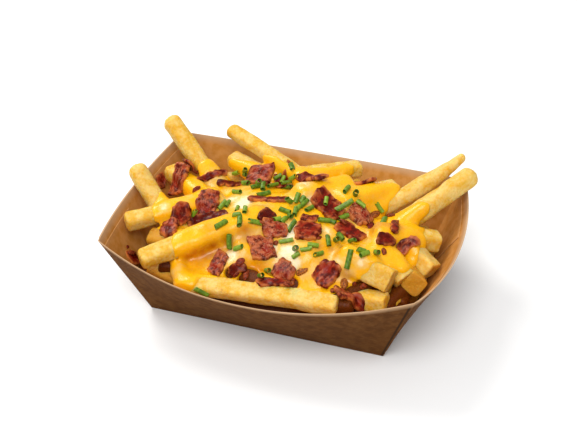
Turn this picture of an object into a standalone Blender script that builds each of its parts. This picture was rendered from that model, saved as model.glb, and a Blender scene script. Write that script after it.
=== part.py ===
"""Cheese fries with bacon and chives in a folded board boat tray.

The origin is the middle of the tray's flat underside. +X runs along the tray to the right,
+Y to its back and +Z up. Named sizes are millimetres, and the meshes are in metres.
"""
import math
import random

import bmesh
import bpy
import numpy as np
from mathutils import Matrix, Vector
from mathutils.bvhtree import BVHTree

MM = 0.001
UP = Vector((0, 0, 1))
SKY = 200.0

# The tray: a flat base, and four walls that lean out to a rim whose sides bow out and dip.
BASE_LENGTH = 143.0
BASE_WIDTH = 88.0
RIM_LENGTH = 184.0
RIM_WIDTH = 126.0
RIM_HEIGHT = 57.5
BOARD = 0.7
BOW_POWER = 2.1
LONG_BOW, LONG_DIP = 18.0, 10.8
LEFT_BOW, LEFT_DIP = 6.5, 3.3
RIGHT_BOW, RIGHT_DIP = 10.8, 5.6
LONG_STEPS, END_STEPS, WALL_ROWS = 12, 8, 3

# The heap's core, which the fries that show are fused to.
CORE_ROOM = 1.2
CORE_EDGE = 25.0
CORE_PEAK = 58.0
CORE_FULLNESS = 1.2
CORE_LEVELS = (1.2, 9.0, 17.0)
CORE_RINGS = (0.88, 0.72, 0.52, 0.28)

# A fry's section is a square with cut corners, and its ends are a little smaller. A pointed fry
# has its full section from TAPER_END of its length.
FRY_CUT = 0.26
TAPER_END = 0.45
FRY_RINGS = ((0.0, 0.72), (0.04, 0.97), (0.5, 1.0), (0.96, 0.97), (1.0, 0.72))

# Fries that fill the heap are turned at random, in rings: how many, the nearest and farthest share
# of the way to the walls, the lowest and highest middle, and how far they turn from the wall.
FILLER_RINGS = (
    (22, 0.8, 0.97, 27.0, 32.0, 0.35),
    (18, 0.62, 0.82, 34.0, 40.0, 1.0),
    (5, 0.3, 0.5, 44.0, 48.0, 1.5),
)
FILLER_REACH = (90.0, 71.0)
FILLER_SQUARE = 4
FILLER_SIZE = (9.5, 11.5)
FILLER_HALF = (18.0, 26.0)
FILLER_ROOM = 2.5
FILLER_LEAN = 0.78
FILLER_STRAY = 0.15
FILLER_RISE = 0.12
FILLER_TURN = 30.0
FILLER_TRIES = 30
FILLER_SEED = 11
FILLER_GAP = (60.0, -25.0, 33.0)

# The sauce lies over the heap inside an oval outline with lobes.
SAUCE_CENTRE = (2.0, -5.0)
SAUCE_REACH = (77.0, 52.0)
SAUCE_LOBES = ((3, 0.035, 0.4), (5, 0.05, 1.9), (8, 0.035, 0.0), (11, 0.03, 2.2))
SAUCE_CELLS = (28, 20)
SAUCE_GAP = 1.0
LIFT_ROUNDS = 12
SAUCE_THICK = 3.4
SAUCE_EDGE = 1.1
PIERCE_GAP = 0.45

# Bacon is cut in squares and strips, and each piece lies on what is under it.
BACON_THICK = 1.9
BACON_GAP = 0.5
BACON_SAG = 0.65
BACON_REACH = 4.0
BACON_SEED = 5
BACON_CELL = 5.0
BACON_UNEVEN = 0.07
STEEPEST = 0.9
RIPPLE = 0.7

# Chives are short lengths of green stalk, part sunk in the sauce.
CHIVE_RADIUS = 1.45
CHIVE_LENGTH = (5.0, 7.5)
CHIVE_SIDES = 6
CHIVE_SINK = 0.4
CHIVE_ROOM = 2.2
CHIVE_LEVEL = 0.7
CHIVE_APART = 3.5
CHIVE_SEED = 8
CHIVE_TRIES = 2

# Fries placed one by one: tip, foot, width, height, turn about the length, tip's share of the
# section, and how far the middle bends up.
STANDING_FRIES = (
    ((-95, 49, 75), (-47, 21, 41), 11, 10.5, 10, 1.0, 0.0),
    ((-99, 3.5, 66.5), (-61, -17, 31), 11.5, 11.5, 20, 1.0, 0.0),
    ((-59, 59.5, 67.5), (21, 25.5, 51.4), 9.5, 8.5, 0, 1.0, 1.3),
    ((90, 63, 74), (44, 28, 47), 11, 10, 10, 0.42, -2.5),
    ((98.5, 53.5, 69.5), (55, 12, 42), 12.5, 12, 10, 0.9, -0.8),
)
LYING_FRIES = (
    ((-89.5, -32, 50), (-45, 6, 52), 10, 9.5, 15, 1.0, 0.0),
    ((-66.5, -63.5, 50), (-11.5, -12.5, 58), 11.5, 10.5, 15, 0.92, 1.0),
    ((-41, -61.5, 37.9), (48, -57.3, 40.8), 11, 8.5, 15, 1.0, 0.8),
    ((28.5, 55.5, 57.5), (-6, 29, 60), 10, 9, 0, 1.0, 1.0),
    ((-52.5, 46.5, 54), (-18, 34, 51), 9.5, 9.5, 0, 1.0, 0.0),
    ((-86.5, 28.5, 49.5), (-49, 2.5, 50), 9.5, 10, 0, 1.0, 0.0),
    ((28, 36, 58), (2, 12.5, 60), 10, 9, 0, 1.0, 0.0),
    ((53, 44.5, 55), (27, 16, 58), 10, 9, 0, 1.0, 0.0),
    ((71.5, -31, 43.5), (41, -25, 50), 14, 12, -52, 1.0, 0.0),
    ((77, -22, 39.5), (56, -11, 50), 12, 11, -15, 1.0, 0.0),
    ((71.5, -40, 35), (40, -39, 32), 12, 10.5, 10, 1.0, 0.0),
    ((89, -6.5, 37), (69, 6, 46), 11.5, 11.5, 28, 1.0, 0.0),
    ((86.5, 16.5, 42), (54, -4, 54), 11, 11, 0, 1.0, 0.0),
    ((-67, -50, 35), (-28, -55.5, 32), 10, 9.5, 20, 1.0, 0.0),
    ((-74.5, -30.5, 41), (-38, -35, 46), 10.5, 10, 20, 1.0, 0.0),
    ((76.5, -30, 27), (52, -25, 33), 12, 11, 0, 1.0, 0.0),
    ((82.5, -22.5, 38), (74, -1, 31), 12.5, 12, 42, 1.0, 0.0),
)

# Bacon pieces: middle in plan, length, width, heading of the length in degrees, and how far the
# ends curl up.
BACON = (
    (-75.5, 17, 19, 10.5, 72, 1.0),
    (-91, 23, 9, 7, 90, 0.0),
    (-71, 24, 9, 7, 60, 0.5),
    (-57, 24, 20, 5, 50, 1.0),
    (-45, 24, 18, 5, 26, 1.0),
    (-28, 30, 16, 15, 10, 1.0),
    (-15, 31, 9, 8, 100, 1.0),
    (-48, -6.5, 20, 12, 96, -0.5),
    (-60.5, -18.5, 15, 10, 97, 0.5),
    (-63, -29.5, 13, 10.5, 97, -0.5),
    (-44, -16, 25, 8.5, 18, 0.5),
    (-7, -16.5, 11, 8.5, 80, 0.0),
    (0, -22.5, 15, 10, 10, 0.5),
    (-4, -34, 15, 14, 20, 0.5),
    (-25, -48.5, 16, 9, 80, 0.5),
    (-13, -49.5, 10, 6, 40, 0.0),
    (11, -42, 12, 12, 70, 0.0),
    (9.5, -54.5, 17, 7, 12, 1.5),
    (18, -18, 15, 13, 12, 0.5),
    (15.5, -7.5, 10, 7, 15, 0.5),
    (22, 8, 24, 13, -33, 1.0),
    (7, 25, 21, 8, -22, 1.5),
    (-13, 3, 24, 5, 5, 1.5),
    (36, 36, 15, 7, -10, 1.0),
    (41, 9.5, 15, 14, -25, 0.0),
    (40, -6.5, 17, 10, -24, 0.5),
    (62.3, -11, 12, 8.5, 10, 0.5),
    (63.8, 1.5, 14, 4.5, 100, 1.5),
    (73.8, -3, 15, 6, 52, 1.5),
    (35.5, -38, 15, 14, 70, 0.5),
    (51.5, -49, 20, 9, 19, 1.0),
    (-84, -40.5, 10, 7, 60, 0.5),
)

# Chives fall in groups: middle in plan, how far the group spreads, and how many.
CHIVES = (
    (-38, 30, 5, 3), (-28, 12, 9, 5), (-8, 20, 9, 5), (-31, -12, 8, 5), (6, -6, 10, 10),
    (34, 8, 10, 7), (20, -33, 7, 5), (46, -27, 9, 6), (-18, -34, 9, 5), (56, 8, 7, 2),
)


def clear_scene():
    for item in list(bpy.data.objects):
        bpy.data.objects.remove(item, do_unlink=True)


def make_material(name, colour, roughness):
    material = bpy.data.materials.new(name)
    material.use_nodes = True
    shader = material.node_tree.nodes["Principled BSDF"]
    shader.inputs["Base Color"].default_value = (*colour, 1.0)
    shader.inputs["Roughness"].default_value = roughness
    shader.inputs["Metallic"].default_value = 0.0
    return material


def mesh_object(name, points, faces, material=None):
    """Makes an object from points in millimetres."""
    mesh = bpy.data.meshes.new(name)
    mesh.from_pydata([Vector(p) * MM for p in points], [], faces)
    mesh.update()
    item = bpy.data.objects.new(name, mesh)
    bpy.context.scene.collection.objects.link(item)
    if material:
        mesh.materials.append(material)
    return item


# Walls of the tray


class Wall:
    """One leaning wall, seen along its outward direction: straight at the base, bowed at the rim."""

    def __init__(self, outward, half_base, half_rim, base_reach, rim_reach, bow, dip, steps):
        self.outward = math.radians(outward)
        self.half = (half_base, half_rim)
        self.reach = (base_reach, rim_reach)
        self.bow = bow
        self.dip = dip
        self.steps = steps

    def rim_height(self, s):
        return RIM_HEIGHT - self.dip * (1 - abs(s) ** BOW_POWER)

    def point(self, s, share):
        """s runs from -1 to 1 along the wall, and share from 0 at the base to 1 at the rim."""
        bulge = 1 - abs(s) ** BOW_POWER
        rim_reach = self.reach[1] + self.bow * bulge
        along = s * (self.half[0] * (1 - share) + self.half[1] * share)
        reach = self.reach[0] * (1 - share) + rim_reach * share
        cos, sin = math.cos(self.outward), math.sin(self.outward)
        return Vector((cos * reach - sin * along, sin * reach + cos * along,
                       self.rim_height(s) * share))


BASE_X, BASE_Y, RIM_X, RIM_Y = BASE_LENGTH / 2, BASE_WIDTH / 2, RIM_LENGTH / 2, RIM_WIDTH / 2
WALLS = (
    Wall(270, BASE_X, RIM_X, BASE_Y, RIM_Y, LONG_BOW, LONG_DIP, LONG_STEPS),
    Wall(0, BASE_Y, RIM_Y, BASE_X, RIM_X, RIGHT_BOW, RIGHT_DIP, END_STEPS),
    Wall(90, BASE_X, RIM_X, BASE_Y, RIM_Y, LONG_BOW, LONG_DIP, LONG_STEPS),
    Wall(180, BASE_Y, RIM_Y, BASE_X, RIM_X, LEFT_BOW, LEFT_DIP, END_STEPS),
)
STATIONS = [(wall, -1 + 2 * k / wall.steps) for wall in WALLS for k in range(wall.steps)]


def wall_ring(share):
    return [wall.point(s, share) for wall, s in STATIONS]


def level_ring(height):
    return [wall.point(s, min(height / wall.rim_height(s), 1.0)) for wall, s in STATIONS]


def inset(ring, distance):
    """Moves each point of a ring inward, level, by the same distance from both its edges."""
    moved = []
    for k, point in enumerate(ring):
        before = (point - ring[k - 1]).to_2d().normalized()
        after = (ring[(k + 1) % len(ring)] - point).to_2d().normalized()
        normal = (Vector((-before.y, before.x)) + Vector((-after.y, after.x))).normalized()
        step = distance / max(0.3, normal.dot(Vector((-after.y, after.x))))
        moved.append(point + Vector((normal.x * step, normal.y * step, 0)))
    return moved


def strip(lower, upper, count):
    """Triangles between two rings of points that start at the two given numbers."""
    faces = []
    for k in range(count):
        after = (k + 1) % count
        faces.append((lower + k, lower + after, upper + after))
        faces.append((lower + k, upper + after, upper + k))
    return faces


def stack_rings(rings, name, material=None):
    """A closed body from rings of points, the first and the last closed by a flat face."""
    count = len(rings[0])
    points = [p for ring in rings for p in ring]
    faces = []
    for level in range(len(rings) - 1):
        faces += strip(level * count, (level + 1) * count, count)
    faces.append(tuple(reversed(range(count))))
    faces.append(tuple(range(len(points) - count, len(points))))
    return mesh_object(name, points, faces, material)


def make_tray(material):
    outside = [wall_ring(k / WALL_ROWS) for k in range(WALL_ROWS + 1)]
    inside = [inset(ring, BOARD) for ring in outside]
    floor = inset(level_ring(BOARD), BOARD)
    rings = outside + list(reversed(inside[1:])) + [floor]
    return stack_rings(rings, "tray", material)


# The heap of fries


def make_core():
    rings = [inset(level_ring(height), BOARD + CORE_ROOM) for height in CORE_LEVELS + (CORE_EDGE,)]
    edge = rings[-1]
    for share in CORE_RINGS:
        height = CORE_EDGE + (CORE_PEAK - CORE_EDGE) * (1 - share ** 2) ** CORE_FULLNESS
        rings.append([Vector((p.x * share, p.y * share, height)) for p in edge])
    return stack_rings(rings, "core")


def fry_frame(tip, foot, turn):
    along = (foot - tip).normalized()
    side = UP.cross(along).normalized()
    upward = along.cross(side)
    spin = Matrix.Rotation(math.radians(turn), 3, along)
    return along, spin @ side, spin @ upward


def fry_section():
    cut = 1 - FRY_CUT * 2
    return ((1, -cut), (1, cut), (cut, 1), (-cut, 1), (-1, cut), (-1, -cut), (-cut, -1), (cut, -1))


def make_fry(name, fry, grow=0.0):
    """One fry, or with grow a fatter copy of it that cuts room for it in the sauce."""
    tip, foot, width, height, turn, tip_share, bend = fry
    tip, foot = Vector(tip), Vector(foot)
    along, side, upward = fry_frame(tip, foot, turn)
    length = (foot - tip).length
    rings = []
    for share, size in FRY_RINGS:
        taper = size * (tip_share + (1 - tip_share) * min(1.0, share / TAPER_END))
        lift = bend * (1 - (2 * share - 1) ** 2)
        centre = tip + along * (share * (length + 2 * grow) - grow) + upward * lift
        half_w, half_h = width / 2 * taper + grow, height / 2 * taper + grow
        rings.append([centre + side * (a * half_w) + upward * (b * half_h) for a, b in fry_section()])
    return stack_rings(rings, name)


def ring_place(angle):
    """The edge of a rounded oblong in one direction, and the direction in which the edge runs."""
    across, deep = math.cos(angle) / FILLER_REACH[0], math.sin(angle) / FILLER_REACH[1]
    reach = (abs(across) ** FILLER_SQUARE + abs(deep) ** FILLER_SQUARE) ** (-1 / FILLER_SQUARE)
    out_x = math.copysign(abs(across) ** (FILLER_SQUARE - 1), across) / FILLER_REACH[0]
    out_y = math.copysign(abs(deep) ** (FILLER_SQUARE - 1), deep) / FILLER_REACH[1]
    return reach, math.atan2(out_y, out_x) + math.pi / 2


def random_fry(draw, angle, near, far, low, high, stray):
    reach, run_angle = ring_place(angle)
    reach *= draw.uniform(near, far)
    middle = Vector((math.cos(angle) * reach, math.sin(angle) * reach, draw.uniform(low, high)))
    heading = run_angle + draw.uniform(-stray, stray)
    run = Vector((math.cos(heading), math.sin(heading), draw.uniform(-FILLER_RISE, FILLER_RISE)))
    run *= draw.uniform(*FILLER_HALF)
    size = draw.uniform(*FILLER_SIZE)
    turn = draw.uniform(-FILLER_TURN, FILLER_TURN)
    return (middle - run, middle + run, size, size, turn, 1.0, 0.0)


def filler_fries():
    """Fries round the heap's edge and low in its gaps, each turned at random and clear of the walls."""
    draw = random.Random(FILLER_SEED)
    fries = []
    for count, near, far, low, high, stray in FILLER_RINGS:
        for k in range(count):
            angle = 2 * math.pi * k / count
            for _ in range(FILLER_TRIES):
                place = angle + draw.uniform(-FILLER_STRAY, FILLER_STRAY)
                fry = random_fry(draw, place, near, far, low, high, stray)
                if clear_of_walls(fry):
                    fries.append(fry)
                    break
    return [fry for fry in fries if not hides_corner(fry)]


def hides_corner(fry):
    """True for a fry whose tip would fill the gaps at the front right corner."""
    tip = fry[0]
    return tip.x > FILLER_GAP[0] and tip.y < FILLER_GAP[1] and tip.z > FILLER_GAP[2]


def clear_of_walls(fry):
    """True if both ends keep their distance from the leaning walls."""
    tip, foot, width = fry[:3]
    room = FILLER_ROOM + width * FILLER_LEAN
    for end in (tip, foot):
        for wall in WALLS:
            cos, sin = math.cos(wall.outward), math.sin(wall.outward)
            out = cos * end.x + sin * end.y
            along = -sin * end.x + cos * end.y
            s = max(-1.0, min(1.0, along / wall.half[1]))
            edge = wall.point(s, min(1.0, end.z / wall.rim_height(s)))
            if out > cos * edge.x + sin * edge.y - room:
                return False
    return True


def join_bodies(name, bodies, material):
    """One Boolean union of all the bodies, kept as the outermost shell only."""
    group = bpy.data.collections.new("union")
    bpy.context.scene.collection.children.link(group)
    for body in bodies[1:]:
        group.objects.link(body)
    first = bodies[0]
    union = first.modifiers.new("Union", "BOOLEAN")
    union.operation = "UNION"
    union.operand_type = "COLLECTION"
    union.collection = group
    union.solver = "MANIFOLD"
    apply_modifiers(first)
    for body in bodies[1:]:
        bpy.data.objects.remove(body, do_unlink=True)
    bpy.data.collections.remove(group)
    keep_largest_shell(first)
    first.name = name
    first.data.name = name
    first.data.materials.clear()
    first.data.materials.append(material)
    return first


def apply_modifiers(item):
    depsgraph = bpy.context.evaluated_depsgraph_get()
    depsgraph.update()
    mesh = bpy.data.meshes.new_from_object(item.evaluated_get(depsgraph))
    item.modifiers.clear()
    item.data = mesh


def keep_largest_shell(item):
    """Drops sealed hollows and loose scraps: all but the shell with the largest box."""
    work = bmesh.new()
    work.from_mesh(item.data)
    bmesh.ops.triangulate(work, faces=work.faces[:])
    left = set(work.verts)
    shells = []
    while left:
        seed = left.pop()
        shell, front = {seed}, [seed]
        while front:
            for edge in front.pop().link_edges:
                for vert in edge.verts:
                    if vert in left:
                        left.discard(vert)
                        shell.add(vert)
                        front.append(vert)
        shells.append(shell)
    spans = [max(v.co.x for v in shell) - min(v.co.x for v in shell) for shell in shells]
    keep = shells[spans.index(max(spans))]
    bmesh.ops.delete(work, geom=[v for v in work.verts if v not in keep], context="VERTS")
    work.to_mesh(item.data)
    work.free()


def make_heap(material):
    bodies = [make_core()]
    for k, fry in enumerate(STANDING_FRIES + LYING_FRIES + tuple(filler_fries())):
        bodies.append(make_fry(f"fry_{k}", fry))
    return join_bodies("fries", bodies, material)


# The cheese sauce


def tree_of(*items):
    """A search tree of the items' triangles in millimetres."""
    points, faces = [], []
    for item in items:
        start = len(points)
        points += [v.co / MM for v in item.data.vertices]
        item.data.calc_loop_triangles()
        faces += [tuple(start + k for k in t.vertices) for t in item.data.loop_triangles]
    return BVHTree.FromPolygons(points, faces)


def sauce_outline(angle):
    """How far the sauce reaches from its centre in one direction."""
    oval = 1 / math.hypot(math.cos(angle) / SAUCE_REACH[0], math.sin(angle) / SAUCE_REACH[1])
    return oval * (1 + sum(size * math.sin(count * angle + phase) for count, size, phase in SAUCE_LOBES))


def disc_point(a, b):
    """Maps a square from -1 to 1 onto the sauce's outline, in even cells."""
    if a == 0 and b == 0:
        radius, angle = 0.0, 0.0
    elif abs(a) >= abs(b):
        radius, angle = abs(a), math.pi / 4 * (b / a) + (math.pi if a < 0 else 0)
    else:
        radius, angle = abs(b), math.pi / 2 - math.pi / 4 * (a / b) + (math.pi if b < 0 else 0)
    reach = radius * sauce_outline(angle)
    return SAUCE_CENTRE[0] + reach * math.cos(angle), SAUCE_CENTRE[1] + reach * math.sin(angle), radius


def sauce_grid():
    across, deep = SAUCE_CELLS
    return [disc_point(2 * i / across - 1, 2 * j / deep - 1)
            for j in range(deep + 1) for i in range(across + 1)]


def grid_triangles(across, deep):
    """Two triangles for each cell, their shared edge pointing away from the middle."""
    faces = []
    row = across + 1
    for j in range(deep):
        for i in range(across):
            k = j * row + i
            if (i < across / 2) == (j < deep / 2):
                faces += [(k, k + 1, k + row + 1), (k, k + row + 1, k + row)]
            else:
                faces += [(k, k + 1, k + row), (k + 1, k + row + 1, k + row)]
    return faces


def border_loop(across, deep):
    """The numbers of a grid's border points, counter-clockwise."""
    row = across + 1
    front = list(range(row))
    right = [j * row + across for j in range(1, deep + 1)]
    back = [deep * row + i for i in range(across - 1, -1, -1)]
    left = [j * row for j in range(deep - 1, 0, -1)]
    return front + right + back + left


def closed_sheet(name, upper, lower, across, deep, material):
    """A body between two grids of points, the upper one's triangles facing up."""
    count = len(upper)
    faces = grid_triangles(across, deep)
    skin = faces + [(c + count, b + count, a + count) for a, b, c in faces]
    border = border_loop(across, deep)
    for here, after in zip(border, border[1:] + border[:1]):
        skin.append((after, here, here + count))
        skin.append((after, here + count, after + count))
    return mesh_object(name, list(upper) + list(lower), skin, material)


def smooth_grid(values, rounds):
    across, deep = SAUCE_CELLS
    grid = np.array(values).reshape(deep + 1, across + 1)
    for _ in range(rounds):
        wide = np.pad(grid, 1, mode="edge")
        grid = (wide[:-2, 1:-1] + wide[2:, 1:-1] + wide[1:-1, :-2] + wide[1:-1, 2:] + 2 * grid) / 6
    return grid.ravel()


def lift_over(points, heights, faces, heap_points, gap):
    """Raises a sheet's points until every heap point under it has the gap above it."""
    for _ in range(LIFT_ROUNDS):
        sheet = BVHTree.FromPolygons([Vector((p[0], p[1], z)) for p, z in zip(points, heights)], faces)
        lifts = np.zeros(len(heights))
        for point in heap_points:
            hit = sheet.ray_cast(Vector((point.x, point.y, SKY)), -UP)
            if hit[0] is None:
                continue
            lack = point.z + gap - hit[0].z
            if lack > 0.01:
                for k in faces[hit[2]]:
                    lifts[k] = max(lifts[k], lack)
        if lifts.max() < 0.02:
            break
        heights = heights + lifts
    return heights


def heap_samples(tree, step=1.5):
    """Points of the heap's top, from rays down through a fine grid."""
    samples = []
    for x in np.arange(-90, 90, step):
        for y in np.arange(-66, 66, step):
            hit = tree.ray_cast(Vector((x, y, SKY)), -UP)
            if hit[0] is not None:
                samples.append(hit[0])
    return samples


def make_sauce(material):
    """A blanket over the core and the lying fries, cut round the fries that stand out of it."""
    bodies = [make_core()]
    for k, fry in enumerate(LYING_FRIES + tuple(filler_fries())):
        bodies.append(make_fry(f"under_{k}", fry))
    tree = tree_of(*bodies)
    ridges = [point for body in bodies for point in edge_samples(body)]
    for body in bodies:
        bpy.data.objects.remove(body, do_unlink=True)

    grid = sauce_grid()
    faces = grid_triangles(*SAUCE_CELLS)
    rest = np.array([tree.ray_cast(Vector((x, y, SKY)), -UP)[0].z for x, y, _ in grid])
    rest = smooth_grid(rest, 2)
    visible = [p for p in ridges if is_top(tree, p)]
    under = lift_over(grid, rest, faces, heap_samples(tree) + visible, SAUCE_GAP)
    inner = np.array([1 - radius ** 4 for _, _, radius in grid])
    thick = SAUCE_EDGE + (SAUCE_THICK - SAUCE_EDGE) * inner
    top = np.maximum(smooth_grid(under + thick, 3), under + 0.5 * thick)

    upper = [Vector((x, y, z)) for (x, y, _), z in zip(grid, top)]
    lower = [Vector((x, y, z)) for (x, y, _), z in zip(grid, under)]
    sauce = closed_sheet("cheese_sauce", upper, lower, *SAUCE_CELLS, material)
    for k, fry in enumerate(STANDING_FRIES):
        cutter = make_fry(f"cutter_{k}", fry, PIERCE_GAP)
        cut = sauce.modifiers.new("Cut", "BOOLEAN")
        cut.operation = "DIFFERENCE"
        cut.object = cutter
        apply_modifiers(sauce)
        bpy.data.objects.remove(cutter, do_unlink=True)
    keep_largest_shell(sauce)
    return sauce


def edge_samples(item, step=1.5):
    points = []
    for edge in item.data.edges:
        start, end = (item.data.vertices[k].co / MM for k in edge.vertices)
        count = math.ceil((end - start).length / step)
        points += [start.lerp(end, k / count) for k in range(count + 1)]
    return points


def is_top(tree, point):
    hit = tree.ray_cast(Vector((point.x, point.y, SKY)), -UP)
    return hit[0] is not None and hit[0].z - point.z < 0.05


# Toppings


def top_height(trees, x, y):
    """The height of the highest surface at a place in plan."""
    best = 0.0
    for tree in trees:
        hit = tree.ray_cast(Vector((x, y, SKY)), -UP)
        if hit[0] is not None:
            best = max(best, hit[0].z)
    return best


def fitted_plane(trees, x, y, reach):
    """The plane nearest to the surface round a place, as its height there and its two slopes."""
    steps = np.linspace(-reach, reach, 5)
    places = [(dx, dy) for dx in steps for dy in steps]
    heights = [top_height(trees, x + dx, y + dy) for dx, dy in places]
    terms = np.array([(1, dx, dy) for dx, dy in places])
    height, slope_x, slope_y = np.linalg.lstsq(terms, np.array(heights), rcond=None)[0]
    steep = max(1.0, math.hypot(slope_x, slope_y) / STEEPEST)
    return height, slope_x / steep, slope_y / steep


def sag(depth):
    """How far a soft slab gives way towards a surface that is this far from it."""
    return BACON_SAG * max(-BACON_REACH, min(BACON_REACH, depth))


def make_bacon(name, piece, trees, draw, material):
    """A thin wavy slab that lies along the surface, lifted until all of it is clear."""
    x, y, length, width, heading, curl = piece
    height, slope_x, slope_y = fitted_plane(trees, x, y, width * 0.45)
    normal = Vector((-slope_x, -slope_y, 1)).normalized()
    turn = math.radians(heading)
    along = Vector((math.cos(turn), math.sin(turn), 0))
    along = (along - normal * along.dot(normal)).normalized()
    side = normal.cross(along)
    middle = Vector((x, y, height))
    phase = draw.uniform(0, 6)
    cells_long, cells_wide = max(2, round(length / BACON_CELL)), 2
    lower = []
    for j in range(cells_wide + 1):
        for i in range(cells_long + 1):
            u, v = 2 * i / cells_long - 1, 2 * j / cells_wide - 1
            wave = RIPPLE * math.sin(u * length / 4 + phase + v)
            uneven = 1 + draw.uniform(-BACON_UNEVEN, BACON_UNEVEN)
            lower.append(middle + along * (u * length / 2 * uneven) + side * (v * width / 2 * uneven)
                         + normal * (curl * u * u + wave))
    lower = [p + UP * sag(top_height(trees, p.x, p.y) - p.z) for p in lower]
    faces = grid_triangles(cells_long, cells_wide)
    lift = max(top_height(trees, p.x, p.y) + BACON_GAP - p.z for p in face_samples(lower, faces))
    lower = [p + UP * lift for p in lower]
    upper = [p + normal * BACON_THICK for p in lower]
    item = closed_sheet(name, upper, lower, cells_long, cells_wide, material)
    while any(tree_of(item).overlap(tree) for tree in trees):
        item.data.transform(Matrix.Translation(UP * BACON_GAP * MM))
    item.data.transform(Matrix.Translation(UP * BACON_GAP * 0.4 * MM))
    return item


def face_samples(points, faces, steps=5):
    """Evenly spread points on the faces of a sheet."""
    samples = []
    for a, b, c in faces:
        for i in range(steps + 1):
            for j in range(steps + 1 - i):
                u, v = i / steps, j / steps
                samples.append(points[a] * (1 - u - v) + points[b] * u + points[c] * v)
    return samples


def make_all_bacon(under, material):
    """Lays the pieces one after another, so that later ones lie on earlier ones."""
    draw = random.Random(BACON_SEED)
    trees = [tree_of(item) for item in under]
    pieces = []
    for number, piece in enumerate(BACON, start=1):
        item = make_bacon(f"bacon_{number:02d}", piece, trees, draw, material)
        trees.append(tree_of(item))
        pieces.append(item)
    return pieces


def make_chive(name, middle, along, length):
    """A short stalk: a prism round its own length."""
    side = UP.cross(along).normalized()
    upward = along.cross(side)
    rings = []
    for end in (-length / 2, length / 2):
        ring = []
        for k in range(CHIVE_SIDES):
            angle = 2 * math.pi * k / CHIVE_SIDES
            out = side * math.cos(angle) + upward * math.sin(angle)
            ring.append(middle + along * end + out * CHIVE_RADIUS)
        rings.append(ring)
    return stack_rings(rings, name)


def add_chives(sauce, others, material):
    """Fuses chives to the sauce, where nothing else is near."""
    draw = random.Random(CHIVE_SEED)
    tree = tree_of(sauce)
    near = [tree_of(item) for item in others]
    placed, stalks = [], [sauce]
    for x, y, spread, count in CHIVES:
        for _ in range(count * CHIVE_TRIES):
            spot = Vector((x + draw.uniform(-spread, spread), y + draw.uniform(-spread, spread), SKY))
            length = draw.uniform(*CHIVE_LENGTH)
            heading = draw.uniform(0, math.pi)
            hit = tree.ray_cast(spot, -UP)
            if hit[0] is None or hit[1].z < CHIVE_LEVEL:
                continue
            along = Vector((math.cos(heading), math.sin(heading), 0))
            along = (along - hit[1] * along.dot(hit[1])).normalized()
            middle = hit[0] + hit[1] * CHIVE_RADIUS * (1 - 2 * CHIVE_SINK)
            ends = [middle + along * length * share for share in (-0.5, -0.25, 0, 0.25, 0.5)]
            if min(t.find_nearest(p)[3] for t in near for p in ends) < CHIVE_ROOM:
                continue
            if any((p - q).length < CHIVE_APART for p in ends for q in placed):
                continue
            placed += ends
            stalks.append(make_chive(f"chive_{len(stalks)}", middle, along, length))
    return join_bodies(sauce.name, stalks, material)


def main():
    clear_scene()
    board = make_material("brown board", (0.34, 0.19, 0.09), 0.85)
    potato = make_material("fried potato", (0.86, 0.62, 0.22), 0.5)
    cheese = make_material("cheese sauce", (0.95, 0.56, 0.07), 0.25)
    meat = make_material("fried bacon", (0.36, 0.08, 0.05), 0.4)
    tray = make_tray(board)
    heap = make_heap(potato)
    sauce = make_sauce(cheese)
    bacon = make_all_bacon((tray, heap, sauce), meat)
    add_chives(sauce, [tray, heap] + bacon, cheese)


main()
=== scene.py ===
"""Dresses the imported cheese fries: board tray, fried potato, melted cheese, bacon, chives and crumbs.

Lengths are millimetres until a mesh is made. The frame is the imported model's: the origin is the
middle of the tray's underside, +X runs to the right, +Y to the back and +Z up.
"""

import math
import random

import bpy
import numpy as np
from mathutils import Matrix, Vector
from mathutils.bvhtree import BVHTree


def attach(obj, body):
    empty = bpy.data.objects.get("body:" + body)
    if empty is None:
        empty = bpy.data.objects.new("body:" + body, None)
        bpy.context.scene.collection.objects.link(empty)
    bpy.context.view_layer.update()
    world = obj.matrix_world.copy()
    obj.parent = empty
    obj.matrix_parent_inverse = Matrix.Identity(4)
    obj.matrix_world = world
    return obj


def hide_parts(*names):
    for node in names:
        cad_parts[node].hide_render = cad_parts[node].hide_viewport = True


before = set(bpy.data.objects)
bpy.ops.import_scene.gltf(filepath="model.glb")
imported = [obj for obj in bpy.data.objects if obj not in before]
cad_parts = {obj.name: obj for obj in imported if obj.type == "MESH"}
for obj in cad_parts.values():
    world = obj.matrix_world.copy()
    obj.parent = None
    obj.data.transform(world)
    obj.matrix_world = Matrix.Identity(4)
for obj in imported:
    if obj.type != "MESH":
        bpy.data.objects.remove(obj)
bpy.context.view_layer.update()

MM = 0.001
UP = Vector((0, 0, 1))
SKY = 200.0

# The photograph's frame, and the camera that was fitted to the tray's corners in it.
PHOTO_WIDTH, PHOTO_HEIGHT = 578, 432
SENSOR, FOCAL_PIXELS = 36.0, 1292.63
CAMERA_AZIMUTH, CAMERA_ELEVATION, CAMERA_ROLL = 19.04, 34.61, -0.62
CAMERA_DISTANCE, CAMERA_TARGET = 806.14, (-12.42, 38.08, 25.0)

# The tray: a flat base, and four walls that lean out to a rim whose sides bow out and dip.
BASE_LENGTH, BASE_WIDTH = 143.0, 88.0
RIM_LENGTH, RIM_WIDTH, RIM_HEIGHT = 184.0, 126.0, 57.5
BOW_POWER = 2.1
BOARD = 0.55
SHARP = math.radians(32)
WALL_ROWS = 12

# How far each wall's rim bows out and dips, and its steps along.
LONG_WALL, LEFT_WALL, RIGHT_WALL = (18.0, 10.8, 56), (6.5, 3.3, 32), (10.8, 5.6, 32)

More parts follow.
